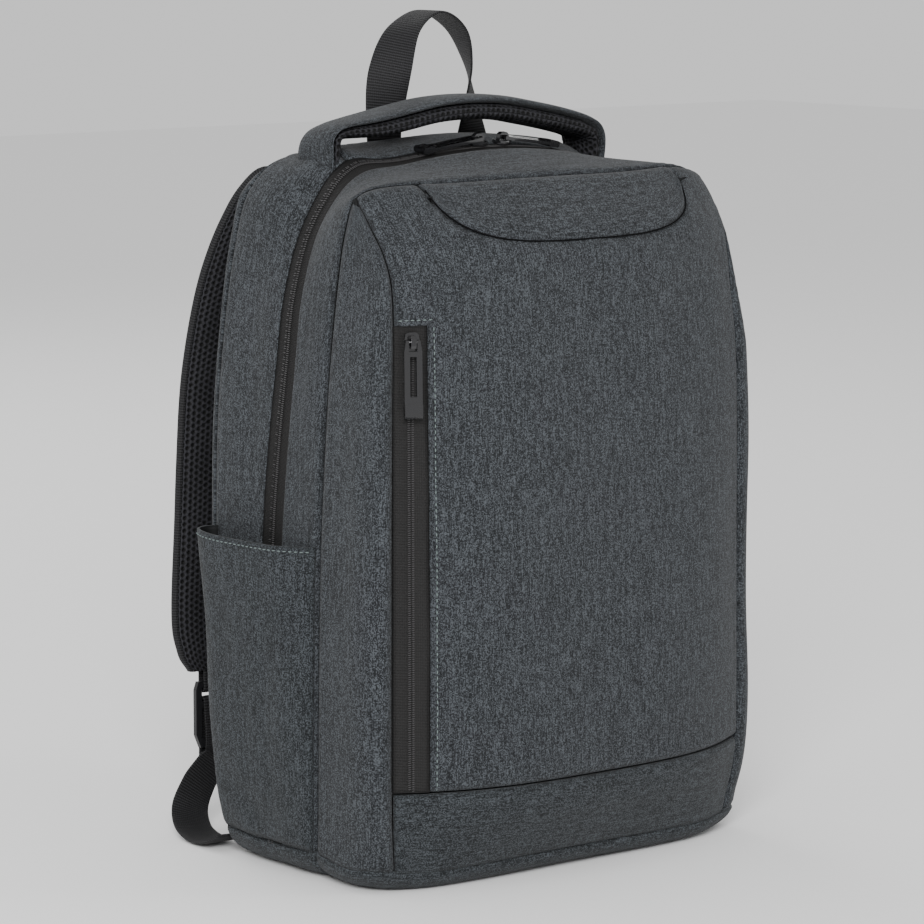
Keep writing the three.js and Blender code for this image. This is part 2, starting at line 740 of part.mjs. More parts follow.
// Prism along Y from an outline of [x, z] points, from the middle of the bag out through the face.
function cutter(outline) {
  const shape = new THREE.Shape(outline.map(([x, z]) => new THREE.Vector2(x, z)));
  const prism = new THREE.ExtrudeGeometry(shape, { depth: 2 * BODY_DEPTH, bevelEnabled: false });
  return solidOf(prism.rotateX(Math.PI / 2));
}
const box = (left, low, right, high) =>
  cutter([
    [left, low],
    [right, low],
    [right, high],
    [left, high],
  ]);

// Half-oval of the yoke, grown by a margin.
function yokeOutline(margin) {
  const [half, foot, top] = [YOKE_WIDTH / 2 + margin, YOKE_FOOT - margin, BODY_HEIGHT];
  const depth = BODY_HEIGHT * FRONT_SEAM.rows[8].high - YOKE_FOOT + margin;
  const steps = 16;
  const points = Array.from({ length: steps + 1 }, (_, k) => {
    const a = Math.PI * (1 + k / steps);
    const [c, n] = [Math.cos(a), Math.sin(a)];
    return [half * Math.sign(c) * Math.abs(c) ** 0.62, foot + depth * (1 - Math.abs(n) ** 0.75)];
  });
  return [...points, [half * 0.96, top], [-half * 0.96, top]];
}
const cut = SEAM_GAP / 2;
const wide = BODY_WIDTH;
const faceLeft = faceSeam[0].x;
const tapeRight = faceLeft + FRONT_TAPE_WIDTH + SEAM_GAP;
const band = faceSolid.intersect(box(-wide, -wide, wide, BAND_HEIGHT - cut));
const above = faceSolid.intersect(box(-wide, BAND_HEIGHT + cut, wide, 2 * BODY_HEIGHT));
const yoke = above.intersect(cutter(yokeOutline(-cut)));
const zipSlot = [-wide, -wide, tapeRight + cut, FRONT_ZIP_TOP + cut];
const frontPanel = above.subtract(cutter(yokeOutline(cut))).subtract(box(...zipSlot));
const frontTape = above
  .intersect(box(-wide, BAND_HEIGHT + 3 * cut, tapeRight - cut, FRONT_ZIP_TOP - cut))
  .translate([0, TAPE_RECESS, 0]);
addPart("base_band", geometryFrom(band), "shell_fabric");
addPart("front_yoke", geometryFrom(yoke), "shell_fabric");
addPart("front_panel", geometryFrom(frontPanel), "shell_fabric");
addPart("front_zip_tape", geometryFrom(frontTape), "zip_tape");

// Bottom panel: a tray whose rim meets the foot of every piece above it
const backFace = backSeam[0].y + GAP + BACK_PADDING;
const rimLeft = [
  vec(0, backFace, BASE_RIM),
  vec(backSeam[0].x * 0.6, backFace, BASE_RIM),
  vec(backSeam[0].x + BACK_PADDING, backFace, BASE_RIM),
  backSeam[0],
  rearGrid[2][0],
  zipRear[0],
  zipFront[0],
  frontGrid[2][0],
  ...foldGrid.map((line) => line[0]).reverse(),
  ...faceGrid[0].slice(2, FACE_STEPS / 2 + 1).filter((_, k) => k % 2 === 0),
];
const rim = [...rimLeft, ...rimLeft.slice(1, -1).map(mirrored).reverse()];
const trayRing = (inset, turn) =>
  rim.map((p) => {
    const reach = Math.hypot(p.x, p.y);
    const keep = 1 - (inset + (BASE_CORNER - inset) * (1 - Math.cos(turn))) / reach;
    const drop = p.z - SEAM_GAP - inset;
    return vec(p.x * keep, p.y * keep, inset + drop * (1 - Math.sin(turn)));
  });
const TRAY_TURNS = [0, 0.35, 0.7, 1].map((share) => (share * Math.PI) / 2);

// Closed tray between nested rings: its outside, its inside and the rim that joins them.
function trayBetween(outer, inner) {
  const size = outer[0].length;
  // Off the origin, which so lies inside a triangle and not at a corner of them all
  const middle = (ring) => vec(WALL, 2 * WALL, ring[0].z);
  const [depth, stack] = [outer.length, [...outer, ...inner.slice().reverse()]];
  const vertices = [...stack.flat(), middle(outer[depth - 1]), middle(inner[depth - 1])];
  const triangles = [];
  const next = (i) => (i + 1) % size;
  const rings = [...Array(depth).keys()].reverse();
  const order = [...rings, ...Array.from({ length: depth }, (_, k) => stack.length - 1 - k)];
  for (let k = 0; k < order.length - 1; k++) {
    const [low, high] = [order[k] * size, order[k + 1] * size];
    for (let i = 0; i < size; i++)
      triangles.push(low + i, low + next(i), high + next(i), low + i, high + next(i), high + i);
  }
  const [under, over] = [vertices.length - 2, vertices.length - 1];
  const [first, last] = [order[0] * size, order[order.length - 1] * size];
  for (let i = 0; i < size; i++) {
    triangles.push(under, first + next(i), first + i);
    triangles.push(over, last + i, last + next(i));
  }
  return geometryOf(vertices, triangles);
}
const trayOuter = TRAY_TURNS.map((turn) => trayRing(0, turn));
const trayInner = TRAY_TURNS.map((turn) => trayRing(WALL, turn));
addPart("bottom_panel", trayBetween(trayOuter, trayInner), "shell_fabric");

// Points where a plane key = value crosses each line of the side and top grids, from the back forwards.
const skinLines = [...rearGrid, ...frontGrid];
function crossings(key, value, from, to) {
  return skinLines.map((line) => {
    let i = from;
    while (i < to - 1 && line[i + 1][key] < value) i++;
    const t = clamp((value - line[i][key]) / (line[i + 1][key] - line[i][key]), 0, 1);
    return mix(line[i], line[i + 1], t);
  });
}
function readAcross(points, y, key) {
  let i = 1;
  while (i < points.length - 1 && points[i].y > y) i++;
  const t = clamp((points[i - 1].y - y) / (points[i - 1].y - points[i].y), 0, 1);
  return lerp(points[i - 1][key], points[i][key], t);
}
const topHeight = (x, y) =>
  readAcross(crossings("x", -Math.abs(x), RING_SIDE - 4, RING / 2), y, "z");

// Bottle pockets, sewn to the side at both edges and the foot, gaping at the mouth
const POCKET_FOOT = BASE_RIM + 2;
const POCKET_LEVELS = 8;
const COIL_PROUD = COIL_HEIGHT + GAP - TAPE_RECESS; // the zipper runs down inside the pockets
const pocketOuter = Array.from({ length: POCKET_LEVELS + 1 }, (_, j) => {
  const up = j / POCKET_LEVELS;
  return POCKET_ROWS.map(({ back, out }) => {
    const z = lerp(POCKET_FOOT, POCKET_TOP + POCKET_LIFT * back ** 3, up);
    const side = crossings("z", z, 0, RING_SIDE);
    const y = lerp(side[side.length - 1].y + POCKET_EDGE, side[0].y - POCKET_EDGE, back);
    const clear = COIL_PROUD * Math.min(1, 4 * out);
    const stand = GAP + POCKET_WALL + clear + POCKET_BULGE * out * up ** 0.9;
    return vec(readAcross(side, y, "x") - stand, y, z);
  });
});
const pocketNormals = gridNormals(pocketOuter, () => vec(-1, 0, 0)).map((line) =>
  line.map((n) => flatten(n, "z")),
);
const pocketInner = insetGrid(pocketOuter, pocketNormals, POCKET_WALL);
addPart("pocket_left", wallBetween(pocketOuter, pocketInner), "shell_fabric");
addPart(
  "pocket_right",
  wallBetween(mirrorGrid(pocketOuter), mirrorGrid(pocketInner)),
  "shell_fabric",
);

// Frames along a route: across starts from a hint and is squared to the route.
function framesAlong(points, hintAt) {
  return points.map((place, i) => {
    const along = tangentAt(points, i);
    const across = hintAt(i / (points.length - 1)).clone();
    across.addScaledVector(along, -across.dot(along)).normalize();
    return { place, along, across, out: across.clone().cross(along).normalize() };
  });
}
const curveThrough = (points) => new THREE.CatmullRomCurve3(points, false, "centripetal");
const even = (t) => t;

// Body that fills the top of the bag up to the gap under what is sewn on it
const overTop = (grid) => grid.map((line) => line.slice(RING_SIDE - 6, RING - RING_SIDE + 7));
const topGrid = overTop([...rearGrid, ...frontGrid.slice(0, 2)]);
const topNormals = overTop([...rearNormals, ...frontNormals.slice(0, 2)]);
const topBody = solidOf(
  wallBetween(insetGrid(topGrid, topNormals, -GAP), insetGrid(topGrid, topNormals, SEWN_DEPTH)),
);
function seated(geometry) {
  const pieces = solidOf(geometry).subtract(topBody).decompose();
  pieces.sort((p, q) => q.volume() - p.volume());
  return geometryFrom(pieces[0]);
}

// Carry handle, its ends sewn to the top behind the zipper
const handleSeat = topHeight(HANDLE_LENGTH / 2, HANDLE_Y) - SEWN_DEPTH / 2;
const handleHalf = HANDLE_ROWS.map(({ along, drop }) =>
  vec((-HANDLE_LENGTH / 2) * along, HANDLE_Y, lerp(BODY_HEIGHT + HANDLE_RISE, handleSeat, drop)),
).reverse();
const handleRight = handleHalf.slice(0, -1).map(mirrored).reverse();
const handleLine = spaced(curveThrough([...handleHalf, ...handleRight]), 0, 1, HANDLE_STEPS, even);
const handleFrames = framesAlong(handleLine, () => vec(0, -1, 0));
const handleTaper = (s) => 1 - 0.35 * Math.abs(2 * s - 1) ** 8;
const handleTop = sweep(handleFrames, (s) =>
  padSection(HANDLE_WIDTH, 0, HANDLE_TOP_THICK * handleTaper(s)),
);
addPart("handle_top", seated(handleTop), "shell_fabric");
const handlePad = sweep(handleFrames, (s) => {
  const thin = 1 - 0.5 * Math.abs(2 * s - 1) ** 6;
  return padSection(HANDLE_WIDTH - 2, -GAP - HANDLE_PAD_THICK * thin, -GAP);
});
addPart("handle_pad", seated(handlePad), "air_mesh");

// Haul loop, turned half round between its two sewn ends
const loopSeat = topHeight(LOOP_SPAN / 2, LOOP_Y) - SEWN_DEPTH / 2;
const loopPoints = spaced(
  curveThrough(
    LOOP_ROWS.map(({ wide, high }) =>
      vec((wide * LOOP_SPAN) / 2, LOOP_Y, lerp(loopSeat, BODY_HEIGHT + LOOP_RISE, high)),
    ),
  ),
  0,
  1,
  LOOP_STEPS,
  even,
);
const halfTurn = (s) => {
  const angle = Math.PI * s * s * (3 - 2 * s);
  return vec(Math.cos(angle), -Math.sin(angle), 0);
};
const haulLoop = sweep(framesAlong(loopPoints, halfTurn), () =>
  bandSection(LOOP_WIDTH, -WEBBING_THICK / 2, WEBBING_THICK / 2),
);
addPart("haul_loop", seated(haulLoop), "webbing");

// Shoulder straps and what hangs from them, left and right
const backSurface = (z) =>
  crossings("z", z, 0, RING_SIDE)[0].y + GAP + BACK_PADDING + BACK_SWELL;
const strapStart = backSurface(STRAP_ROWS[0].high * BODY_HEIGHT) + 2.5 * GAP;
const strapPoints = spaced(
  curveThrough(
    STRAP_ROWS.map(({ wide, back, high }) =>
      vec(-wide * STRAP_SPREAD, strapStart + back * STRAP_BOW, high * BODY_HEIGHT),
    ),
  ),
  0,
  1,
  STRAP_STEPS,
  even,
);
// Across stays level, so that the cloth never folds over itself where the strap turns.
const strapFrames = framesAlong(strapPoints, () => vec(1, 0, 0)).map((frame) => {
  const across = vec(1, 0, 0);
  return { ...frame, across, out: across.clone().cross(frame.along).normalize() };
});
const strapThin = (s) => table(STRAP_WIDTH_ROWS, "along", "thick", s);
const strapWidth = (s) => STRAP_WIDTH * table(STRAP_WIDTH_ROWS, "along", "wide", s);
const strapFabric = sweep(strapFrames, (s) =>
  padSection(strapWidth(s), GAP / 2, STRAP_FABRIC_THICK * strapThin(s)),
);
const strapMesh = sweep(strapFrames, (s) =>
  padSection(strapWidth(s) - 4, -STRAP_MESH_THICK * strapThin(s), -GAP / 2),
);
const strapEnd = strapPoints[STRAP_STEPS];
// Everything below the strap hangs straight down from the middle of its end.
const lockTop = strapEnd.z - TAB_LENGTH;
const barHalf = LOCK_THICK / 4;
const looped = barHalf + GAP + WEBBING_THICK / 2;
const lockY = strapEnd.y;
const lockX = strapEnd.x;

const ROUND_STEPS = 4;
const uTurn = (centreZ, downwards) =>
  Array.from({ length: ROUND_STEPS + 1 }, (_, k) => {
    const a = (Math.PI * k) / ROUND_STEPS;
    return [-looped * Math.cos(a), centreZ + (downwards ? -1 : 1) * looped * Math.sin(a)];
  });
const alongX = () => vec(-1, 0, 0);
const webbingBand = (points, width) =>
  sweep(framesAlong(points, alongX), () =>
    bandSection(width, -WEBBING_THICK / 2, WEBBING_THICK / 2),
  );
const topBarEdge = lockTop - LOCK_BAR;
const tabPath = [
  [-looped, strapEnd.z - 1.5 * GAP],
  ...uTurn(topBarEdge, true),
  [looped, strapEnd.z - 1.5 * GAP],
].map(([y, z]) => vec(lockX, lockY + y, z));
const strapTab = webbingBand(tabPath, WEBBING_WIDTH);

// Ladder lock: a frame with three bars
const [lockHalf, slotHalf] = [LOCK_WIDTH / 2, WEBBING_WIDTH / 2 + 1];
const lockBlock = (points) => {
  const shape = new THREE.Shape(points.map(([x, z]) => new THREE.Vector2(x, z)));
  return solidOf(new THREE.ExtrudeGeometry(shape, { depth: 2 * barHalf, bevelEnabled: false }));
};
const lockSlot = (high, low) =>
  lockBlock([
    [-slotHalf, high],
    [-slotHalf, low],
    [slotHalf, low],
    [slotHalf, high],
  ]);
const lockFrame = lockBlock([
  [lockHalf * 0.9, 0],
  [-lockHalf * 0.9, 0],
  [-lockHalf, -LOCK_HEIGHT * 0.12],
  [-lockHalf, -LOCK_HEIGHT * 0.8],
  [-lockHalf * 0.8, -LOCK_HEIGHT],
  [lockHalf * 0.8, -LOCK_HEIGHT],
  [lockHalf, -LOCK_HEIGHT * 0.8],
  [lockHalf, -LOCK_HEIGHT * 0.12],
]);
const upperSlot = lockSlot(-LOCK_BAR, -LOCK_BAR - LOCK_SLOT);
const lowerSlot = lockSlot(-2 * LOCK_BAR - LOCK_SLOT, -LOCK_HEIGHT + 1.5 * LOCK_BAR);
const lockGeometry = geometryFrom(lockFrame.subtract(upperSlot).subtract(lowerSlot))
  .rotateX(Math.PI / 2)
  .translate(lockX, lockY + barHalf, lockTop);

// Lower webbing: round the middle bar, then down and in to the corner of the base
const middleBar = lockTop - LOCK_BAR - LOCK_SLOT;
const webbingFoot = vec(
  backSeam[0].x + WEBBING_WIDTH / 2 - 1,
  backFace + WEBBING_SEAT,
  BASE_RIM * 0.55,
);
const webbingDrop = curveThrough([
  vec(lockX, lockY - looped, middleBar),
  vec(lockX, lockY - looped, lockTop - LOCK_HEIGHT - WEBBING_LEAD),
  ...WEBBING_ROWS.map(({ out, back, high }) =>
    vec(
      lerp(lockX, webbingFoot.x, out),
      lerp(webbingFoot.y, lockY, back),
      lerp(WEBBING_THICK * 1.3, lockTop - LOCK_HEIGHT, high),
    ),
  ),
  webbingFoot,
]);
const webbingPath = [
  ...spaced(webbingDrop, 0, 1, WEBBING_STEPS, even).reverse(),
  ...uTurn(middleBar, false)
    .slice(1)
    .map(([y, z]) => vec(lockX, lockY + y, z)),
  vec(lockX, lockY + looped, lockTop - LOCK_HEIGHT - WEBBING_TAIL),
];
const lowerWebbing = webbingBand(webbingPath, WEBBING_WIDTH);

const hanging = [
  ["strap", strapFabric, "shell_fabric"],
  ["strap_mesh", strapMesh, "air_mesh"],
  ["strap_tab", strapTab, "webbing"],
  ["ladder_lock", lockGeometry, "buckle_plastic"],
  ["strap_webbing", lowerWebbing, "webbing"],
];
// The mirror image of a closed geometry, its faces turned back out.
function mirrorGeometry(geometry) {
  const flipped = geometry.clone().scale(-1, 1, 1);
  const index = Array.from(flipped.index.array);
  for (let i = 0; i < index.length; i += 3) [index[i], index[i + 1]] = [index[i + 1], index[i]];
  flipped.setIndex(index);
  flipped.computeVertexNormals();
  return flipped;
}
for (const [name, geometry, finish] of hanging) {
  addPart(`${name}_left`, geometry, finish);
  addPart(`${name}_right`, mirrorGeometry(geometry), finish);
}

// Sliders: local x runs from the tail to the nose, y across the coil, z out from the tape.
const sliderFoot = GAP + COIL_HEIGHT + GAP;
const sliderTop = sliderFoot + SLIDER_THICK;
const crownHole = PIN_RADIUS + PIN_CLEAR;
const hingeHeight = sliderTop + crownHole + 0.4;

function sliderGeometry() {
  const [l, w] = [SLIDER_LENGTH / 2, SLIDER_WIDTH / 2];
  const outline = new THREE.Shape();
  outline.moveTo(-l, -w * 0.55).lineTo(-l * 0.6, -w * 0.62).lineTo(l * 0.2, -w);
  outline.lineTo(l * 0.85, -w * 0.85).lineTo(l, -w * 0.4).lineTo(l, w * 0.4);
  outline.lineTo(l * 0.85, w * 0.85).lineTo(l * 0.2, w).lineTo(-l * 0.6, w * 0.62);
  outline.lineTo(-l, w * 0.55).closePath();
  const plate = new THREE.ExtrudeGeometry(outline, { depth: SLIDER_THICK, bevelEnabled: false });
  plate.translate(0, 0, sliderFoot);
  const [hole, wall] = [crownHole + 0.6, CROWN_WALL];
  const crown = new THREE.Shape();
  const high = hingeHeight + crownHole + wall;
  crown.moveTo(-hole - wall, sliderTop - 0.3).lineTo(hole + wall, sliderTop - 0.3);
  crown.lineTo(hole + wall, high - 1.4).lineTo(hole, high).lineTo(-hole, high);
  crown.lineTo(-hole - wall, high - 1.4).closePath();
  const eye = new THREE.Path();
  const [low, top] = [hingeHeight - crownHole, hingeHeight + crownHole];
  eye.moveTo(-hole, low).lineTo(hole, low).lineTo(hole, top).lineTo(-hole, top).closePath();
  crown.holes.push(eye);
  const arch = new THREE.ExtrudeGeometry(crown, { depth: CROWN_WIDTH, bevelEnabled: false });
  arch.rotateX(Math.PI / 2).translate(0, CROWN_WIDTH / 2, 0);
  return geometryFrom(solidOf(plate).add(solidOf(arch)));
}

// Puller: hinged at its own origin, lying along -x
function pullerGeometry() {
  const [w, eyeHalf] = [PULLER_WIDTH / 2, CROWN_WIDTH / 2 + 0.9];
  const eyeEnd = -(crownHole + 0.6 + CROWN_WALL + 0.8 + PIN_RADIUS);
  const tip = PIN_RADIUS - PULLER_LENGTH;
  const frame = new THREE.Shape();
  frame.moveTo(PIN_RADIUS, eyeHalf).lineTo(PIN_RADIUS, w * 0.8).lineTo(eyeEnd, w);
  frame.lineTo(tip, w).lineTo(tip, -w).lineTo(eyeEnd, -w).lineTo(PIN_RADIUS, -w * 0.8);
  frame.lineTo(PIN_RADIUS, -eyeHalf).lineTo(eyeEnd, -eyeHalf).lineTo(eyeEnd, eyeHalf).closePath();
  const slotPath = new THREE.Path();
  const [near, far, side] = [eyeEnd - PULLER_RIM, tip + PULLER_BLOCK + PULLER_RIM, w * 0.36];
  slotPath.moveTo(near, side).lineTo(near, -side).lineTo(far, -side).lineTo(far, side).closePath();
  frame.holes.push(slotPath);
  const flat = new THREE.ExtrudeGeometry(frame, { depth: PULLER_THICK, bevelEnabled: false });
  flat.translate(0, 0, -PULLER_THICK / 2);
  const [b, h] = [PULLER_BLOCK / 2, PULLER_BLOCK_THICK / 2];
  const side4 = new THREE.Shape();
  side4.moveTo(-b, -h + 1).lineTo(-b + 1, -h).lineTo(b - 2, -h).lineTo(b, 0);
  side4.lineTo(b - 2, h).lineTo(-b + 1, h).lineTo(-b, h - 1).closePath();
  const block = new THREE.ExtrudeGeometry(side4, { depth: PULLER_WIDTH, bevelEnabled: false });
  block.rotateX(Math.PI / 2).translate(tip + b, w, 0);
  const pin = new THREE.CylinderGeometry(PIN_RADIUS, PIN_RADIUS, 2 * eyeHalf + 0.8, 12);
  return geometryFrom(solidOf(flat).add(solidOf(block)).add(solidOf(pin)));
}

// Places a slider and its puller on a tape; droop turns the puller's tip down towards the tape.
function addZipPull(name, place, nose, out, droop) {
  const across = out.clone().cross(nose).normalize();
  const turn = new THREE.Quaternion().setFromRotationMatrix(
    new THREE.Matrix4().makeBasis(nose, across, out),
  );
  const slider = addPart(`${name}_slider`, sliderGeometry(), "slider_metal");
  slider.position.copy(place);
  slider.quaternion.copy(turn);
  const puller = addPart(`${name}_puller`, pullerGeometry(), "slider_metal");
  puller.position.copy(place).addScaledVector(out, hingeHeight);
  const tip = new THREE.Quaternion().setFromAxisAngle(vec(0, 1, 0), -droop);
  puller.quaternion.copy(turn).multiply(tip);
}

// Main sliders, nose to nose at the middle of the top, pullers lying outwards
const middle = RING / 2;
const towards = zipFrames[middle - 1].place.clone().sub(zipFrames[middle].place);
const slid = MAIN_SLIDER_X / Math.abs(towards.x);
const sliderPlace = mix(zipFrames[middle].place, zipFrames[middle - 1].place, slid);
const sliderNose = towards.clone().normalize().negate();
const sliderOut = zipFrames[middle].out.clone();
sliderOut.addScaledVector(sliderNose, -sliderOut.dot(sliderNose)).normalize();
sliderPlace.addScaledVector(sliderOut, -TAPE_RECESS);
const topDroop = THREE.MathUtils.degToRad(TOP_PULLER_DROOP);
addZipPull("main_left", sliderPlace, sliderNose, sliderOut, topDroop);
addZipPull(
  "main_right",
  mirrored(sliderPlace),
  mirrored(sliderNose),
  mirrored(sliderOut),
  topDroop,
);

// Front zipper: coil, slider at its top and a puller hanging plumb
const tapeShare = (FRONT_TAPE_WIDTH + SEAM_GAP) / 2 / (faceGrid[0][1].x - faceGrid[0][0].x);
const frontLine = faceGrid.map((line) => mix(line[0], line[1], tapeShare).add(vec(0, TAPE_RECESS, 0)));
function frontFrame(z) {
  let j = 0;
  while (j < frontLine.length - 2 && frontLine[j + 1].z < z) j++;
  const [low, high] = [frontLine[j], frontLine[j + 1]];
  const place = mix(low, high, (z - low.z) / (high.z - low.z));
  const along = high.clone().sub(low).normalize();
  const sideways = faceGrid[j][1].clone().sub(faceGrid[j][0]);
  const out = sideways.cross(along).normalize();
  if (out.y > 0) out.negate();
  return { place, along, across: along.clone().cross(out).normalize(), out };
}
const coilEnds = [BAND_HEIGHT + COIL_STOP, FRONT_ZIP_TOP - COIL_STOP];
const coilLevels = [
  coilEnds[0],
  ...frontLine.map((p) => p.z).filter((z) => z > coilEnds[0] + 1 && z < coilEnds[1] - 1),
  coilEnds[1],
];
addPart(
  "front_zip_coil",
  sweep(coilLevels.map(frontFrame), () => bandSection(COIL_WIDTH, GAP, GAP + COIL_HEIGHT)),
  "zip_coil",
);
const seat = frontFrame(FRONT_ZIP_TOP - FRONT_SLIDER_DROP);
const plumb = Math.atan2(Math.hypot(seat.along.x, seat.along.y), seat.along.z);
addZipPull("front", seat.place, seat.along, seat.out, -plumb);

export default group;
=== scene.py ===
# Laptop backpack in heathered grey polyester. Lengths are millimetres until a mesh is made.
import math

import bpy
import numpy as np
from mathutils import Matrix


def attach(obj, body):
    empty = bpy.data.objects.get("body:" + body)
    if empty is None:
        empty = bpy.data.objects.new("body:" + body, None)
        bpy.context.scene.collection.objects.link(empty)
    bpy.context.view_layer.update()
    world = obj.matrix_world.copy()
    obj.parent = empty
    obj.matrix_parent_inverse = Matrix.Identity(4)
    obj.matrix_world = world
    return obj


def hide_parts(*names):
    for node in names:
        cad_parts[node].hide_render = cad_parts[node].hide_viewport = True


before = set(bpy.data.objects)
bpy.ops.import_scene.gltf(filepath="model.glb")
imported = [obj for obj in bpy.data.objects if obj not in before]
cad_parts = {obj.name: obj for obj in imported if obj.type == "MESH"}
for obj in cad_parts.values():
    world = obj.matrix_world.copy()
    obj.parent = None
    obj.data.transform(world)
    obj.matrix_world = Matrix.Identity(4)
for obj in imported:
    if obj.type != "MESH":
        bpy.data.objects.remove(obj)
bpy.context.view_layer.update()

MM = 0.001
RNG = np.random.default_rng(11)

# Sizes shared by several pieces, as the frame has them
BODY_WIDTH, BODY_HEIGHT, BODY_DEPTH = 300, 435, 153
BASE_RIM, BASE_CORNER = 16, 26
SIDE_RISE, CREST_RISE = 1.5, 5
FACE_SWELL, FACE_FOOT, FOOT_LIFT = 30, 9, 3
FOLD_ROLL, FOLD_EASE = 0.2, 0.22
FOLD_SUNK = 1.2  # how far the fold tucks in behind the gusset at their seam
BAND_TOP, TAPE_TOP, TAPE_RIGHT = 61, 335, -117.8
TAPE_HALF, TAPE_SUNK, COIL_OUT = 10, 0.8, 1.1
YOKE_HALF, YOKE_FOOT, YOKE_DEEP = 98, 379, 31.2
YOKE_PROUD = 0.7  # of the yoke's edge over the panel
FACE_WIDTH = 275  # of the front face between its side seams
GUSSET_SEAM = 97  # side of the rear gusset to the seam across it, where the handle is sewn in
GAP = 0.3

# Seams that ring the body, as shares of half the width, the depth and the height
BACK_SEAM = [
    (0.98, 0.5, 0), (1.0, 0.51, 0.253), (1.003, 0.516, 0.46), (0.997, 0.516, 0.586),
    (0.978, 0.513, 0.685), (0.945, 0.507, 0.785), (0.907, 0.5, 0.86), (0.86, 0.49, 0.921),
    (0.775, 0.47, 0.958), (0.62, 0.45, 0.977), (0.33, 0.43, 0.985), (0, 0.42, 0.988),
]
ZIP_LINE = [
    (0.985, 0.19, 0), (0.997, 0.18, 0.23), (0.995, 0.16, 0.46), (0.993, 0.122, 0.59),
    (0.983, 0.085, 0.7), (0.955, 0.072, 0.795), (0.885, 0.065, 0.874), (0.8, 0.058, 0.914),
    (0.69, 0.052, 0.94), (0.44, 0.033, 0.971), (0.23, 0.013, 0.983), (0, 0, 0.987),
]
FRONT_SEAM = [
    (0.98, -0.09, 0), (0.99, -0.111, 0.253), (0.987, -0.124, 0.453), (0.987, -0.176, 0.671),
    (0.973, -0.216, 0.805), (0.945, -0.243, 0.89), (0.904, -0.252, 0.926), (0.855, -0.268, 0.937),
    (0.78, -0.296, 0.943), (0.62, -0.33, 0.949), (0.33, -0.36, 0.953), (0, -0.366, 0.954),
]
FACE_SEAM = [
    (0.91, -0.484, 0), (0.917, -0.49, 0.14), (0.915, -0.49, 0.4), (0.91, -0.49, 0.65),
    (0.906, -0.489, 0.76), (0.911, -0.48, 0.83), (0.918, -0.44, 0.868), (0.915, -0.365, 0.897),
    (0.908, -0.3, 0.917),
]
# Share of the height, share of the swell
SWELL = [
    (0, 0.36), (0.05, 0.72), (0.12, 1.0), (0.28, 0.95), (0.46, 0.77), (0.65, 0.5), (0.8, 0.26),
    (0.9, 0.1), (1, 0),
]
ROLL = [(0, 0), (0.04, 0.62), (0.14, 1.0), (0.32, 0.97), (0.56, 0.68), (0.81, 0.3), (1, 0)]
POCKET = [
    (0, 0), (0.06, 0.2), (0.14, 0.46), (0.24, 0.74), (0.38, 0.94), (0.54, 1.0), (0.7, 1.0),
    (0.83, 0.97), (0.92, 0.88), (0.97, 0.7), (1, 0),
]
POCKET_FOOT, POCKET_TOP, POCKET_LIFT, POCKET_BULGE = 18, 201, 3, 16
POCKET_WIDTH, POCKET_EDGE, POCKET_WALL = 94, 1, 2
HANDLE = [
    (0, 0), (0.25, 0.04), (0.45, 0.14), (0.62, 0.24), (0.76, 0.34), (0.88, 0.45),
    (0.955, 0.57), (0.99, 0.76), (0.99, 1),
]
HANDLE_HALF, HANDLE_Y, HANDLE_RISE, HANDLE_FOOT = 106, 27.5, 454, 419
HANDLE_BACK = 7  # how much further back its ends are than its middle
HANDLE_WIDTH, HANDLE_THICK, HANDLE_PAD = 34, 5.5, 9.5
LOOP = [
    (-1, 0), (-0.98, 0.25), (-0.86, 0.55), (-0.54, 0.85), (0.02, 0.97), (0.6, 0.84), (0.88, 0.57),
    (0.94, 0.28), (0.97, 0),
]
LOOP_HALF, LOOP_Y, LOOP_TOP, LOOP_FOOT = 35.5, 58, 511, 427
LOOP_WIDTH, STRAP_WEBBING, WEBBING_HALF = 26, 25, 0.9
STRAP = [
    (0.59, 0, 0.934), (0.65, 0.07, 0.948), (0.76, 0.15, 0.949), (0.86, 0.235, 0.925),
    (0.93, 0.34, 0.883), (0.97, 0.48, 0.823), (0.99, 0.63, 0.75), (1.0, 0.79, 0.65),
    (1.0, 0.88, 0.54), (1.0, 0.94, 0.43), (1.01, 0.98, 0.32), (1.03, 0.97, 0.23),
]
STRAP_SPREAD, STRAP_START, STRAP_BOW, STRAP_WIDTH = 95, 88.6, 61, 70
# Share of the strap's length, share of its width, share of its thickness
STRAP_SHAPE = [
    (0, 0.8, 0.5), (0.08, 0.82, 0.6), (0.15, 0.87, 0.85), (0.3, 1, 1), (0.7, 1, 1),
    (0.9, 0.98, 1), (0.96, 0.85, 0.95), (1, 0.6, 0.7),
]

# Grid steps: to a stretch of a curve, up a side, over the top
STRETCH, SIDE, TOP = 40, 104, 180
# Where the front face's grids have their first rows, in from a seam
SEAM_ROWS = (0, 0.7, 1.6, 3.0, 5.2, 8.4)


def bell(x):
    return np.exp(-(x**2))


def unit(v):
    return v / np.maximum(np.linalg.norm(v, axis=-1, keepdims=True), 1e-9)


def mirrored(points):
    return points * (-1, 1, 1)


def smooth_line(points, steps=STRETCH):
    """Centripetal Catmull-Rom curve through the points, steps to a stretch."""
    p = np.asarray(points, float)
    p = np.vstack([2 * p[0] - p[1], p, 2 * p[-1] - p[-2]])
    w = np.linspace(0, 1, steps, endpoint=False)[:, None]
    out = []
    for a, b, c, d in zip(p[:-3], p[1:-2], p[2:-1], p[3:]):
        da, db, dc = (max(np.linalg.norm(q - r), 1e-8) ** 0.5 for q, r in ((a, b), (b, c), (c, d)))
        start = ((b - a) / da - (c - a) / (da + db) + (c - b) / db) * db
        end = ((c - b) / db - (d - b) / (db + dc) + (d - c) / dc) * db
        out.append(b + start * w + (3 * (c - b) - 2 * start - end) * w**2
                   + (2 * (b - c) + start + end) * w**3)
    return np.vstack(out + [p[-2:-1]])


def lengths(line):
    return np.concatenate([[0], np.cumsum(np.linalg.norm(np.diff(line, axis=0), axis=1))])


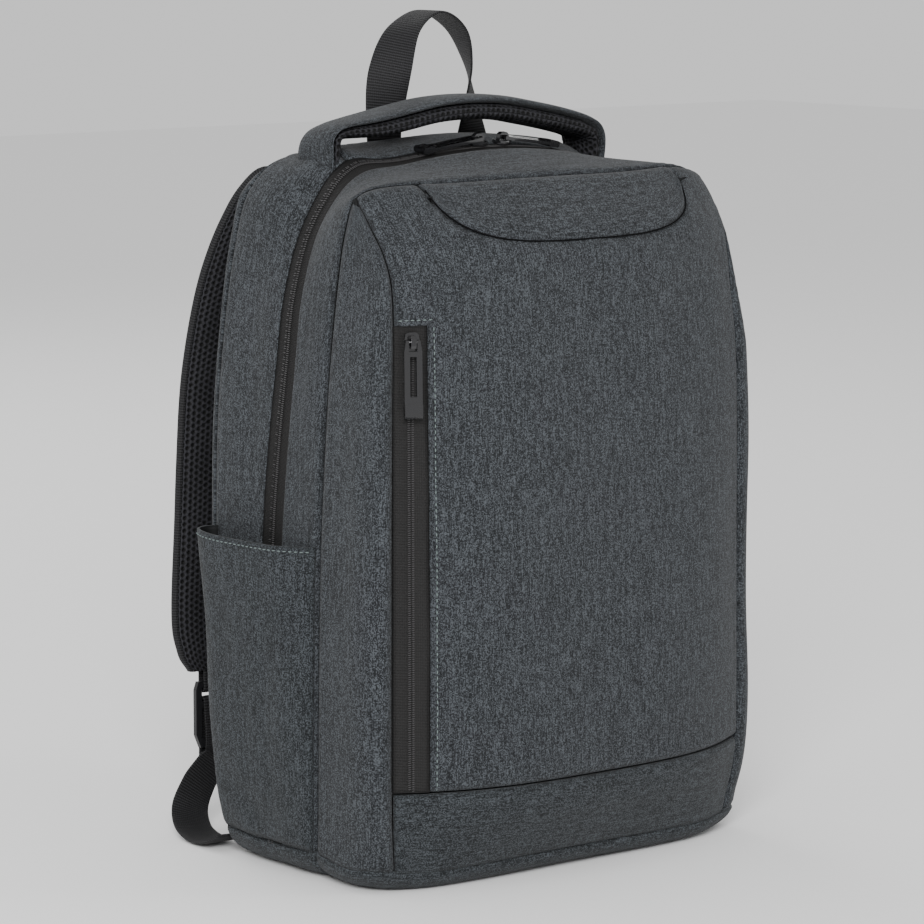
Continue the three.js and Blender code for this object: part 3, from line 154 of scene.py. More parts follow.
def along_line(line, at, fields):
    """Fields of a line at distances along it."""
    run = lengths(line)
    return [np.stack([np.interp(at, run, field[:, k]) for k in range(3)], -1) for field in fields]


def resampled(line, count):
    return along_line(line, np.linspace(0, lengths(line)[-1], count + 1), [line])[0]


def curve_table(rows):
    """Smooth lookup from a table's first column to its others."""
    fine = smooth_line(np.array(rows, float), 16)
    return lambda at: [np.interp(at, fine[:, 0], fine[:, k]) for k in range(1, fine.shape[1])]


def row_points(rows):
    return np.array([
        (-w * BODY_WIDTH / 2, d * BODY_DEPTH, h * BODY_HEIGHT if h else BASE_RIM) for w, d, h in rows
    ])


def ring(rows, corner):
    """Seam from the left foot over the top to the right foot, evenly stepped up the side and over."""
    left = row_points(rows)
    line = smooth_line(np.vstack([left, mirrored(left[-2::-1])]))
    cut = corner * STRETCH
    side = resampled(line[: cut + 1], SIDE)
    over = resampled(line[cut : len(line) - cut], TOP)
    return np.vstack([side, over[1:-1], mirrored(side[::-1])])


def away(v, line):
    """v turned to point out of the body along a ring."""
    out = line * (1, 0, 1) - (0, 0, BODY_HEIGHT / 2)
    return np.where((v * out).sum(1, keepdims=True) < 0, -v, v)


def tangents(line):
    return unit(np.gradient(line, axis=0))


def level_ends(v):
    """v made level where the ring meets the base."""
    v[[0, -1], 2] = 0
    return unit(v)


back_seam, zip_line, front_seam = ring(BACK_SEAM, 7), ring(ZIP_LINE, 6), ring(FRONT_SEAM, 6)
zip_along = tangents(zip_line)
zip_across = back_seam - front_seam
zip_across -= zip_along * (zip_across * zip_along).sum(1, keepdims=True)
zip_across = level_ends(unit(zip_across))
zip_out = level_ends(away(unit(np.cross(zip_across, zip_along)), zip_line))
zip_rear = zip_line + zip_across * TAPE_HALF
zip_front = zip_line - zip_across * TAPE_HALF
# Place round the ring in the frame's coarser steps, 14 up a side and 16 over the top
side_step = 14 * 2 / math.pi * np.arcsin(np.arange(SIDE + 1) / SIDE)
over_step = 14 + 16 / math.pi * np.arccos(1 - 2 * np.arange(1, TOP) / TOP)
ring_step = np.concatenate([side_step, over_step, 44 - side_step[::-1]])
top_share = np.clip((np.minimum(ring_step, 44 - ring_step) - 8.4) / 8.4, 0, 1)
over_top = top_share * top_share * (3 - 2 * top_share)


def spread(width, step=4.2, near=(0, 0.8, 1.8, 3.2, 5.2, 8.4)):
    """Shares from 0 to 1 that crowd at both edges, where the seams are."""
    edge = np.array(near)
    inner = np.linspace(edge[-1], width - edge[-1], max(3, round((width - 2 * edge[-1]) / step) + 1))
    return np.concatenate([edge, inner[1:-1], width - edge[::-1]]) / width


def strip(start, end, shares, rise):
    """Rows from one seam to another, arched by rise."""
    chord = end - start
    out = level_ends(away(unit(np.cross(chord, tangents(start))), start))
    return np.array([start + chord * t + out * np.reshape(4 * t * (1 - t) * rise, (-1, 1)) for t in shares])


def normals_of(grid, facing):
    """Unit normals of a grid, all on the side that facing points to."""
    n = unit(np.cross(np.gradient(grid, axis=1), np.gradient(grid, axis=0)))
    return n if (n * facing).sum() > 0 else -n


def from_core(grid):
    return grid - (0, 0, BODY_HEIGHT / 2)


def edge_gaps(grid):
    """Distance in from the first row, last row, first column and last column."""
    down = np.zeros(grid.shape[:2])
    down[1:] = np.cumsum(np.linalg.norm(np.diff(grid, axis=0), axis=2), axis=0)
    over = np.zeros(grid.shape[:2])
    over[:, 1:] = np.cumsum(np.linalg.norm(np.diff(grid, axis=1), axis=2), axis=1)
    return down, down[-1] - down, over, over[:, -1:] - over


# How the bag as photographed leans out of its even shape: centre, reach and the move there
SETTLED = [
    ((-104, 26, 420), 30, (0, 0, 3.0)),
    ((-118, -16, 404), 34, (0, -1, 6.5)),
    ((-99, 19, 414), 23, (0, 0, 8.0)),
    ((112, -30, 414), 42, (1.5, 0, 4.5)),
    ((139, -70, 366), 40, (-5, 3, 0)),
    ((152, -86, 4), 30, (-8, 6, 6)),
    ((-152, -80, 4), 26, (6, 5, 5)),
    ((-160, 70, 4), 24, (4, -3, 3)),
    ((160, 70, 4), 24, (-4, -3, 3)),
]


def settled(points):
    moved = points.copy()
    for centre, reach, move in SETTLED:
        gap = np.linalg.norm(points - centre, axis=-1, keepdims=True) / reach
        moved = moved + np.array(move) * bell(gap)
    return moved


# Slack of the cloth: long soft waves, and the dents and creases that the bag really has
WAVES = [
    (unit(RNG.normal(size=3)) * 2 * math.pi / RNG.uniform(55, 150), RNG.uniform(0, 6.28)) for _ in range(9)
]


def waves(points, depth):
    return sum(np.sin(points @ k + phase) for k, phase in WAVES) * depth / 3


# From point, to point, width, depth: a negative depth is a dent
CREASES = [
    ((-150, 40, 232), (-150, 52, 395), 16, -1.6),
    ((-150, 6, 215), (-150, -8, 350), 12, -0.9),
    ((-150, -20, 20), (-150, -26, 200), 9, -1.2),
    ((-149, -40, 60), (-148, -48, 300), 14, -1.0),
    ((-148, -30, 18), (-143, -62, 44), 9, -1.6),
    ((-160, 30, 26), (-150, 66, 60), 12, -1.5),
    ((-160, 58, 190), (-165, 50, 90), 14, -1.2),
    ((-158, 12, 190), (-156, 16, 60), 13, -1.3),
    ((-90, -100, 92), (40, -106, 74), 16, -1.1),
    ((20, -104, 66), (128, -86, 96), 14, -1.4),
    ((-60, -98, 190), (80, -98, 230), 42, -1.2),
    ((60, -88, 330), (120, -72, 372), 26, -1.8),
    ((-100, -72, 392), (-60, -66, 352), 22, -1.4),
    ((92, -70, 404), (128, -52, 380), 16, -1.8),
    ((-30, -84, 372), (60, -84, 366), 18, 0.8),
    ((148, -50, 80), (149, -40, 300), 14, -1.2),
    ((-100, 20, 421), (-128, 12, 392), 14, -1.4),
    ((100, 20, 421), (128, 12, 392), 14, -1.4),
    ((-40, -50, 416), (60, -48, 417), 14, 0.7),
]


def creases(points):
    total = np.zeros(points.shape[:-1])
    for a, b, width, depth in CREASES:
        a, b = np.array(a, float), np.array(b, float)
        run = b - a
        t = np.clip(((points - a) @ run) / (run @ run), 0, 1)
        gap = np.linalg.norm(points - a - t[..., None] * run, axis=-1) / width
        fade = np.sin(math.pi * np.clip(t * 0.8 + 0.1, 0, 1)) ** 0.7
        total += depth * fade * (1 - 0.6 * gap**2) * bell(gap)
    return total


SEAM_OPEN = 0.4  # each edge back from the seam, so that a fine dark line shows
SEAM_REACH = 1.6  # how far in from a seam its pull is felt
CORE_HALF, CORE_LOW, CORE_HIGH = 60, 60, 330  # the core that sides and top face away from
# Axis and place of a grid's first and last row, first and last column
EDGES = {"f": (0, 0), "l": (0, -1), "s": (1, 0), "e": (1, -1)}


def seam_way(points):
    """Out of the bag at a seam: between the ways that its two pieces face."""
    across, depth, height = np.moveaxis(points, -1, 0)
    across, height = np.clip(across, -CORE_HALF, CORE_HALF), np.clip(height, CORE_LOW, CORE_HIGH)
    core = np.stack([across, 0 * depth, height], -1)
    radial = unit((points - core) * (1, 0, 1))
    forward = np.clip(depth / 45, -1, 1)
    level = np.stack([0 * forward, forward, 0 * forward], -1)
    return unit(radial * (1.5 - np.abs(forward))[..., None] + level * 0.75)


def edged(field, rim, axis, at):
    return np.concatenate([rim, field] if at == 0 else [field, rim], axis)


def dressed(grid, facing, sewn="", soft="", folded="", slack=0.5, dip=2.5, turn=3.4, pucker=0.16):
    """Cloth over a plain grid: slack between its edges, sewn edges drawn in, all edges turned under.

    Edges are named as in EDGES. Those in soft are sewn to a piece that lies flush, and draw in less;
    those in folded are only turned."""
    normals = normals_of(grid, facing)
    inward = seam_way(grid)
    inward = np.where((inward * normals).sum(-1, keepdims=True) > 0.2, inward, normals)
    gaps = dict(zip("flse", edge_gaps(grid)))
    lift = waves(grid, slack) + creases(grid)
    sink = 0 * lift
    for edge, gap in gaps.items():
        if edge in sewn + soft + folded:
            lift = lift * (1 - bell(gap / 9))
    opened = grid.copy()
    for edge, gap in gaps.items():
        if edge in sewn + soft:
            depth = dip * (1 if edge in sewn else 0.45)
            run = gaps["s"] if edge in "fl" else gaps["f"]
            gather = pucker * np.sin(run * 2 * math.pi / 9 + 2 * np.sin(run / 31))
            sink = np.maximum(sink, depth * bell(gap / SEAM_REACH))
            lift = lift + (0.5 + gather) * bell((gap - 5.5) / 3.4)
            axis, at = EDGES[edge]
            rows = np.swapaxes(grid, 0, axis)
            np.swapaxes(opened, 0, axis)[at] += unit(rows[1 if at == 0 else -2] - rows[at]) * SEAM_OPEN
    grid = opened + normals * lift[..., None] - inward * sink[..., None]
    for edge, (axis, at) in EDGES.items():
        if edge in sewn + soft + folded:
            way = np.take(inward, [at], axis)
            grid = edged(grid, np.take(grid, [at], axis) - way * turn, axis, at)
            inward = edged(inward, way, axis, at)
    return grid


# Materials
def linear(code):
    """Linear colour of an sRGB hex value."""
    parts = [int(code[i : i + 2], 16) / 255 for i in (1, 3, 5)]
    return [c / 12.92 if c <= 0.04045 else ((c + 0.055) / 1.055) ** 2.4 for c in parts] + [1.0]


def add(tree, kind, sockets=None, **settings):
    """Adds a node, with its settings, and its sockets set to values or linked to other nodes' outputs."""
    made = tree.nodes.new(kind)
    for key, value in settings.items():
        setattr(made, key, value)
    for key, value in (sockets or {}).items():
        if isinstance(value, bpy.types.NodeSocket):
            tree.links.new(value, made.inputs[key])
        else:
            made.inputs[key].default_value = value
    return made


def start_material(name, **finish):
    """New material, its shader with the finish set, and where the cloth lies in millimetres."""
    material = bpy.data.materials.new(name)
    material.use_nodes = True
    tree = material.node_tree
    shader = tree.nodes["Principled BSDF"]
    for key, value in finish.items():
        shader.inputs[key.replace("_", " ")].default_value = value
    place = add(tree, "ShaderNodeAttribute", attribute_name="cloth").outputs["Vector"]
    return material, tree, shader, place


def stretched(tree, place, across, along, deep):
    """The cloth's place in units of across and along millimetres."""
    scale = (1 / across, 1 / along, deep)
    return add(tree, "ShaderNodeVectorMath", {0: place, 1: scale}, operation="MULTIPLY").outputs[0]


def streaks(tree, place, across, along, detail=2.0):
    """Noise drawn out along the yarn: sizes are millimetres across and along it."""
    scaled = stretched(tree, place, across, along, 1)
    noise = add(tree, "ShaderNodeTexNoise", {"Vector": scaled, "Scale": 1.0, "Detail": detail})
    return noise.outputs["Fac"]


def yarn_ends(tree, place, across, along):
    """A shade for each crossing of two yarns: sizes are the millimetres from one crossing to the next."""
    scaled = stretched(tree, place, across, along, 0)
    crossing = add(tree, "ShaderNodeVectorMath", {0: scaled}, operation="FLOOR")
    return add(tree, "ShaderNodeTexWhiteNoise", {"Vector": crossing.outputs[0]}).outputs["Value"]


def maths(tree, operation, a, b, c=0.0):
    return add(tree, "ShaderNodeMath", {0: a, 1: b, 2: c}, operation=operation).outputs[0]


def bumped(tree, shader, height, distance, strength=1.0):
    bump = add(tree, "ShaderNodeBump", {"Height": height, "Distance": distance * MM, "Strength": strength})
    tree.links.new(bump.outputs["Normal"], shader.inputs["Normal"])


def coloured(tree, shader, value, stops):
    """Colours the shader by a value, from values and sRGB codes."""
    ramp = add(tree, "ShaderNodeValToRGB", {"Fac": value})
    marks = ramp.color_ramp.elements
    marks[0].position, marks[0].color = stops[0][0], linear(stops[0][1])
    marks[1].position, marks[1].color = stops[-1][0], linear(stops[-1][1])
    for at, code in stops[1:-1]:
        marks.new(at).color = linear(code)
    tree.links.new(ramp.outputs["Color"], shader.inputs["Base Color"])


def heathered_polyester(name, dark, middle, light):
    """Polyester woven from yarns dyed dark and pale: matt, with a fine grain and faint streaks.

    A warp yarn is 0.6 mm wide and keeps its shade for about 9 mm. Each crossing, 0.5 by 0.65 mm, and each
    float of the weft, 1.7 by 0.5 mm, has a shade of its own. Soft bands 2.5 mm wide run for 45 mm."""
    material, tree, shader, place = start_material(
        name, Roughness=0.9, Specular_IOR_Level=0.15, Sheen_Weight=0.05, Sheen_Roughness=0.6)
    warp = streaks(tree, place, 0.6, 9.0, 0.0)
    crossing = yarn_ends(tree, place, 0.5, 0.65)
    weft = yarn_ends(tree, place, 1.7, 0.5)
    band = streaks(tree, place, 2.5, 45, 0.0)
    blend = maths(tree, "MULTIPLY_ADD", warp, 0.36, maths(tree, "MULTIPLY", crossing, 0.38))
    blend = maths(tree, "MULTIPLY_ADD", weft, 0.12, blend)
    blend = maths(tree, "MULTIPLY_ADD", band, 0.14, blend)
    coloured(tree, shader, blend, [(0.33, dark), (0.5, middle), (0.67, light)])
    bumped(tree, shader, blend, 0.22, 0.7)
    return material


CELL_WAYS = [math.radians(turn) for turn in (0, 60, 120)]


def spacer_mesh(name, base, yarn, pitch=3.6):
    """Black knitted spacer mesh: open cells 3.6 mm apart, painted near black for the shade inside them, and
    matt yarn with a faint pale fleck.
    """
    material, tree, shader, place = start_material(name, Roughness=0.75, Specular_IOR_Level=0.25)
    reach = 2 * math.pi / pitch
    cells = 0.0
    for a in CELL_WAYS:
        way = (math.cos(a) * reach, math.sin(a) * reach, 0)
        wave = add(tree, "ShaderNodeVectorMath", {0: place, 1: way}, operation="DOT_PRODUCT")
        cells = maths(tree, "ADD", cells, maths(tree, "COSINE", wave.outputs["Value"], 0.0))
    fleck = streaks(tree, place, 0.5, 0.5, 2.0)
    height = maths(tree, "MULTIPLY_ADD", fleck, 0.8, maths(tree, "MULTIPLY", cells, -0.33))
    # Colour: the cells painted near black, the shade inside them; the yarn between them paler; the fleck is
    # the yarn's own.
    coloured(tree, shader, maths(tree, "ADD", height, 0.1), [(0.15, base), (0.95, yarn)])
    bumped(tree, shader, height, 0.6)
    return material


def ribbed_webbing(name, dark, light, rib=1.7, end=1.3):
    """Woven polyester tape: ribs across it, each crest painted paler as a sheen and each furrow darker as
    painted shade; a rib and a warp end so many mm wide.
    """
    material, tree, shader, place = start_material(name, Roughness=0.65, Specular_IOR_Level=0.2)
    split = add(tree, "ShaderNodeSeparateXYZ", {0: place})
    ribs = maths(tree, "SINE", maths(tree, "MULTIPLY", split.outputs["Y"], 2 * math.pi / rib), 0.0)
    ends = maths(tree, "SINE", maths(tree, "MULTIPLY", split.outputs["X"], 2 * math.pi / end), 0.0)
    fleck = streaks(tree, place, 0.8, 0.5)
    weave_and_sheen = maths(tree, "MULTIPLY_ADD", ribs, 0.3, maths(tree, "MULTIPLY_ADD", ends, 0.1, fleck))
    # Colour: rib and warp-end crests painted paler, a painted sheen, and darker between them, painted shade;
    # the fleck is the yarn's own tone.
    coloured(tree, shader, weave_and_sheen, [(0.15, dark), (0.9, light)])
    bumped(tree, shader, weave_and_sheen, 0.3)
    return material


def plain_finish(name, colour, grit, depth, **finish):
    """A smooth finish with a fine surface: grit is the size of its grain and depth how far it stands."""
    material, tree, shader, place = start_material(name, Base_Color=linear(colour), **finish)
    bumped(tree, shader, streaks(tree, place, grit, grit), depth)
    return material


# Heathered polyester: mid grey from afar, dark and pale yarns close by; the base's is darker.
FABRIC = heathered_polyester("heathered_polyester", "#141618", "#282a2d", "#44484c")
FABRIC_DARK = heathered_polyester("heathered_polyester_base", "#121416", "#25282a", "#3f4347")
# Its inside is coated: near black and smoother.
COATED = plain_finish("coated_polyester_inside", "#0f1011", 0.8, 0.05, Roughness=0.7, Specular_IOR_Level=0.2)
# Spacer mesh: black yarn; the cells are painted darker than the yarn between them, as painted shade inside
# the open cells.
MESH = spacer_mesh("black_spacer_mesh", "#030303", "#2b2b2f")
# Webbing: black, with a painted sheen on the crests of its ribs. Zipper tape: a finer rib with the same
# painted sheen, a warm dark grey.
WEBBING = ribbed_webbing("polyester_webbing", "#070707", "#2b2b2d")
TAPE = ribbed_webbing("zipper_tape_twill", "#0f0f0f", "#252424", 0.9)
# Nylon coil: paler than its tape, with a satin gleam that picks out each turn.
COIL = plain_finish("nylon_coil", "#3b3a3b", 0.4, 0.02, Roughness=0.5, Specular_IOR_Level=0.35)
# Black nickel plate under lacquer: black, with sharp highlights along its edges.
NICKEL = plain_finish(
    "black_nickel", "#222224", 0.8, 0.003, Roughness=0.22, Metallic=0.7, Coat_Weight=1.0, Coat_Roughness=0.05)
# Moulded acetal: black and half matt.
ACETAL = plain_finish("moulded_acetal", "#161618", 0.35, 0.03, Roughness=0.42)
# Sewing thread: pale grey-green on the face.
THREAD = plain_finish("polyester_thread", "#626c6b", 0.3, 0.03, Roughness=0.75, Specular_IOR_Level=0.2)
# Painted shade: a near-black cord along the yoke's edge stands in for the shade in that seam's groove.
YOKE_SEAM_SHADE = plain_finish(
    "painted_seam_shade", "#070708", 0.3, 0.03, Roughness=0.9, Specular_IOR_Level=0.1)


# Meshes
def mesh_piece(name, points, faces, cloth, material, body, nodes=()):
    """Smooth mesh from points in millimetres and their places on the cloth."""
    mesh = bpy.data.meshes.new(name)
    mesh.from_pydata((settled(points) * MM).tolist(), [], faces)
    mesh.polygons.foreach_set("use_smooth", [True] * len(mesh.polygons))
    laid = mesh.attributes.new("cloth", "FLOAT_VECTOR", "POINT")
    laid.data.foreach_set("vector", cloth.astype(np.float32).ravel())
    mesh.materials.append(material)
    piece = bpy.data.objects.new(name, mesh)
    bpy.context.scene.collection.objects.link(piece)
    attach(piece, body)
    if nodes:
        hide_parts(*nodes)
    return piece


def quads(rows, columns, wrap=False):
    """Faces of a grid; wrap joins its last column to its first."""
    j, i = np.meshgrid(np.arange(rows - 1), np.arange(columns if wrap else columns - 1), indexing="ij")
    near, far = j * columns + i, j * columns + (i + 1) % columns
    return np.stack([near, far, far + columns, near + columns], -1).reshape(-1, 4)


def evened(grid):
    """Way down and over a grid, evened along its rows and columns."""
    down, _, over, _ = edge_gaps(grid)
    return down.mean(1, keepdims=True) + 0 * down, over.mean(0, keepdims=True) + 0 * over


def lay(grid, grain, offset):
    """Where each point of the cloth lies on its roll; grain rows or columns says which way the warp runs."""
    down, over = evened(grid)
    across, along = (over, down) if grain == "rows" else (down, over)
    return np.stack([across + offset, along + 1.7 * offset, 0 * across + offset], -1).reshape(-1, 3)


def shell(name, grid, facing, nodes, material=FABRIC, grain="rows", thick=1.6):
    """Cloth of an even thickness on a grid, its other face inwards."""
    rows, columns = grid.shape[:2]
    faces = quads(rows, columns)
    n = np.cross(np.gradient(grid, axis=1), np.gradient(grid, axis=0))
    if (n * facing).sum() < 0:
        faces = faces[:, ::-1]
    cloth = lay(grid, grain, 97.0 * (len(bpy.data.meshes) % 13))
    piece = mesh_piece(name, grid.reshape(-1, 3), faces.tolist(), cloth, material, "root", nodes)
    if material in (FABRIC, FABRIC_DARK):
        piece.data.materials.append(COATED)
    solid = piece.modifiers.new("thickness", "SOLIDIFY")
    solid.thickness, solid.offset = thick * MM, -1
    solid.material_offset = len(piece.data.materials) - 1
    return piece


def tube(name, rings, nodes, material):
    """Closed solid through rings of points, its ends capped."""
    count, around = rings.shape[:2]
    faces = quads(count, around, wrap=True)
    caps = [list(range(around - 1, -1, -1)), list(range((count - 1) * around, count * around))]
    middle = rings.mean(1, keepdims=True)
    a, b = rings[count // 2], rings[count // 2 + 1]
    turn = np.cross(np.roll(a, -1, 0) - a, b - a)
    if (turn * (a - middle[count // 2])).sum() < 0:
        faces, caps = faces[:, ::-1], [cap[::-1] for cap in caps]
    cloth = lay(rings, "rows", 61.0 * (len(bpy.data.meshes) % 11))
    return mesh_piece(name, rings.reshape(-1, 3), faces.tolist() + caps, cloth, material, "root", nodes)


def swept(place, across, out, section):
    """Rings through a route: section gives rows of offsets across and out at each share of it."""
    shares = np.linspace(0, 1, len(place))
    return np.array([
        place[k] + np.outer(s[:, 0], across[k]) + np.outer(s[:, 1], out[k])
        for k, s in enumerate(section(t) for t in shares)
    ])


def pad_section(width, low, high, around=40, square=2.6):
    """Rounded flat section; square says how square its corners are."""
    a = np.linspace(0, 2 * math.pi, around, endpoint=False)
    c, n = np.cos(a), np.sin(a)
    x = np.sign(c) * np.abs(c) ** (2 / square) * width / 2
    y = (low + high) / 2 + np.sign(n) * np.abs(n) ** (2 / square) * (high - low) / 2
    return np.stack([x, y], 1)


def route_frames(line, hint, squared=True):
    """Across and out along a route; hint is across, squared to the route unless told not to."""
    along = tangents(line)
    across = np.broadcast_to(hint, line.shape).astype(float)
    if squared:
        across = across - along * (across * along).sum(1, keepdims=True)
    across = unit(across)
    return across, unit(np.cross(across, along))


def stitched(name, line, out, length=2.1, space=1.4, radius=0.4):
    """A row of stitches along a line on the cloth, each one a short bowed thread."""
    whole, fields = lengths(line)[-1], (line, tangents(line), out)
    count = int(whole // (length + space))
    points, faces, around = [], [], 6
    shares = np.linspace(-0.5, 0.5, 5)
    ring_turn = np.arange(around) * 2 * math.pi / around
    for k in range(count):
        place, way, up = along_line(line, (k + 0.5) * whole / count, fields)
        side = np.cross(up, way)
        base = k * len(shares) * around
        for share in shares:
            centre = place + way * share * length + up * (radius * 0.75 - radius * 3.2 * share**2)
            thin = radius * (1 - 1.6 * share**2)
            for a in ring_turn:
                points.append(centre + side * math.cos(a) * thin + up * math.sin(a) * thin * 0.8)
        faces.extend((quads(len(shares), around, wrap=True) + base).tolist())
        last = base + (len(shares) - 1) * around
        faces.append([base + i for i in range(around - 1, -1, -1)])
        faces.append([last + i for i in range(around)])
    points = np.array(points)
    return mesh_piece(name, points, faces, points, THREAD, "root")


def coil_teeth(name, line, across, out, nodes, ends=(0, 0), pitch=1.3, wide=2.3, tall=0.9):
    """The coil's two rows of loops, turned inwards, so that they show as ticks beside a fine dark line."""
    at = np.arange(ends[0], lengths(line)[-1] - ends[1], pitch / 2) // pitch * pitch
    place, side, up, way = along_line(line, at, (line, across, out, tangents(line)))
    lean = np.where(np.arange(len(at)) % 2 == 0, 1.0, -1.0)[:, None]
    centre = place + side * lean * (wide / 2 + 0.32) + up * tall * 0.25
    around = 6
    levels = [(-1, 0.25), (-0.62, 0.8), (0.1, 1.0), (0.75, 0.7), (1, 0.2)]
    rings = []
    for level, girth in levels:
        for a in np.arange(around) * math.pi / 3:
            loop = way * math.cos(a) * pitch * 0.3 + up * math.sin(a) * tall / 2
            rings.append(centre + side * lean * level * wide / 2 + loop * girth)
    points = np.stack(rings, 1).reshape(-1, 3)
    each = len(levels) * around
    one = quads(len(levels), around, wrap=True).tolist()
    one += [list(range(around - 1, -1, -1)), list(range(each - around, each))]
    faces = []
    for k in range(len(at)):
        faces.extend([k * each + v for v in (face if lean[k] > 0 else face[::-1])] for face in one)
    return mesh_piece(name, points, faces, points, COIL, "root", nodes)


# Top, sides and the main zipper
rear_grid = strip(back_seam, zip_rear, spread(57), SIDE_RISE + (CREST_RISE - SIDE_RISE) * over_top)
front_grid = strip(zip_front, front_seam, spread(36), SIDE_RISE + 0 * over_top)
across_seam = int(np.argmin(np.abs(rear_grid[len(rear_grid) // 2, : SIDE + TOP // 2, 0] + GUSSET_SEAM)))
last_column = rear_grid.shape[1] - 1
for name, start, end, ends in (
    ("left", 0, across_seam, ("s", "e")), ("top", across_seam, last_column - across_seam, ("", "se")),
    ("right", last_column - across_seam, last_column, ("e", "s")),
):
    part = rear_grid[:, start : end + 1]
    part = dressed(part, from_core(part), sewn="f" + ends[1], soft=ends[0], folded="l", slack=0.8)
    shell(f"rear_gusset_{name}_cloth", part, from_core(part), ["rear_gusset"], grain="columns")
front_cloth = dressed(front_grid, from_core(front_grid), sewn="l", soft="se", folded="f", slack=0.6)
shell("front_gusset_cloth", front_cloth, from_core(front_cloth), ["front_gusset"], grain="columns")
tape_grid = strip(zip_rear, zip_front, np.linspace(0, 1, 7), 0 * over_top) - zip_out * TAPE_SUNK
shell("main_tape", tape_grid, from_core(tape_grid), ["main_zip_tape"], TAPE, "columns", 0.9)
coil_line = zip_line + zip_out * (0.5 - TAPE_SUNK)
coil_teeth("main_coil", coil_line, zip_across, zip_out, ["main_zip_coil"])

# Folds between the sides and the front face
corner = front_seam[SIDE]
seam_rows = row_points(FACE_SEAM)
seam_rows[0, 2] = FACE_FOOT
face_seam = resampled(smooth_line(np.vstack([seam_rows, corner])), SIDE)
roll_out = curve_table(ROLL)


def fold(shares):
    chord = front_seam[: SIDE + 1] - face_seam
    side = unit(np.cross(chord, (0, 0, 1)))
    side = np.where(side[:, :1] > 0, -side, side)
    ease = np.clip((corner[2] - face_seam[:, 2]) / (FOLD_EASE * BODY_HEIGHT), 0, 1)
    reach = FOLD_ROLL * ease * np.linalg.norm(chord, axis=1)
    return np.array([face_seam + chord * t + side * (reach * roll_out(t)[0])[:, None] for t in shares])


fold_grid = fold(spread(58, 3.6))
behind = np.linalg.norm(fold_grid - fold_grid[-1], axis=2, keepdims=True)
fold_grid = fold_grid - seam_way(fold_grid) * FOLD_SUNK * bell(behind / 4.0)
for name, grid in (("left", fold_grid), ("right", mirrored(fold_grid))):
    outwards = grid * (1, 0, 0)
    cloth = dressed(grid, outwards, sewn="fl", soft="s", slack=0.7)
    shell(f"fold_{name}_cloth", cloth, cloth * (1, 0, 0), [f"fold_{name}"], grain="columns")

# Front face: a swollen patch between its side seams, its foot and the front seam
swell_out = curve_table(SWELL)
crest = front_seam[SIDE : SIDE + TOP + 1]
FACE_HIGH = corner[2] - FACE_FOOT


def face(u, h):
    """Points of the face at a share u across and h up."""
    u, h = np.broadcast_arrays(u, h)
    level = FACE_FOOT + h * FACE_HIGH
    edge_x, edge_y = (np.interp(level, face_seam[:, 2], face_seam[:, k]) for k in (0, 1))
    top_x = corner[0] * (1 - 2 * u)
    top_y, top_z = (np.interp(top_x, crest[:, 0], crest[:, k]) for k in (1, 2))
    foot_z = FACE_FOOT + FOOT_LIFT * (1 - (2 * u - 1) ** 2)
    y = edge_y + (top_y - corner[1]) * h - FACE_SWELL * swell_out(h)[0] * (1 - np.abs(2 * u - 1) ** 3)
    return np.stack([edge_x * (1 - 2 * u), y, foot_z + (top_z - foot_z) * h], -1)


def share_up(u, z):
    """Share h at which the face is z high at u."""
    h = (z - FACE_FOOT) / FACE_HIGH + 0 * u
    for _ in range(8):
        h = h + (z - face(u, h)[..., 2]) / FACE_HIGH
    return h


def share_across(x, z):
    """Shares u and h of the face's point at x and z."""
    u = 0.5 + x / FACE_WIDTH + 0 * z
    for _ in range(8):
        h = share_up(u, z)
        u = u + (x - face(u, h)[..., 0]) / FACE_WIDTH
    return u, h


FORWARD = np.array([0, -1, 0.15])
slot_u = float(share_across(np.array(TAPE_RIGHT - 0.2), np.array(200.0))[0])
slot_width = slot_u * FACE_WIDTH
tape_u = np.array([0, 0.8, 2, 4, 7, 10, 13, 15.5, slot_width - 1.5, slot_width - 0.7]) / FACE_WIDTH
wide_u = slot_u + (1 - slot_u) * spread(FACE_WIDTH - slot_width, 4.0, SEAM_ROWS)
face_u = np.concatenate([tape_u, wide_u])
lower = spread(TAPE_TOP - BAND_TOP, 4.2, SEAM_ROWS)
upper = spread(76, 3.6, SEAM_ROWS)
foot_h = share_up(face_u, BAND_TOP + 0.2)
slot_h = share_up(face_u, TAPE_TOP + 0.2)
face_h = np.vstack([
    foot_h + (slot_h - foot_h) * lower[:-1, None], slot_h + (1 - slot_h) * upper[:, None],
])
face_grid = face(face_u[None, :] + 0 * face_h, face_h)
in_slot = np.zeros(face_h.shape)
in_slot[: len(lower) - 1, : len(tape_u)] = 1


def yoke_line(x):
    """Height of the yoke's seam at x."""
    c = np.minimum(np.abs(x) / YOKE_HALF, 1) ** (1 / 0.62)
    return YOKE_FOOT + YOKE_DEEP * (1 - (1 - c * c) ** 0.375)


yoke_x = YOKE_HALF * np.sin(np.linspace(-1.5, 1.5, 81))
yoke_low = yoke_line(yoke_x)
yoke_seam = face(*share_across(yoke_x, yoke_low))
panel = dressed(face_grid, FORWARD, sewn="flse", slack=0.8)
to_seam = np.linalg.norm(face_grid[:, :, None] - yoke_seam, axis=-1).min(axis=-1)
inside_yoke = (np.abs(face_grid[..., 0]) < YOKE_HALF) & (face_grid[..., 2] > yoke_line(face_grid[..., 0]))
sink = 2.4 * bell(to_seam / 1.7) + 3.2 * inside_yoke * (1 - bell(to_seam / 1.7))
lip = 0.35 * bell((to_seam - 4) / 2.4) * ~inside_yoke
panel_normals = normals_of(face_grid, FORWARD)
panel[1:-1, 1:-1] += panel_normals * (lip - sink - 2.2 * in_slot)[..., None]
shell("front_panel_cloth", panel, FORWARD, ["front_panel"])

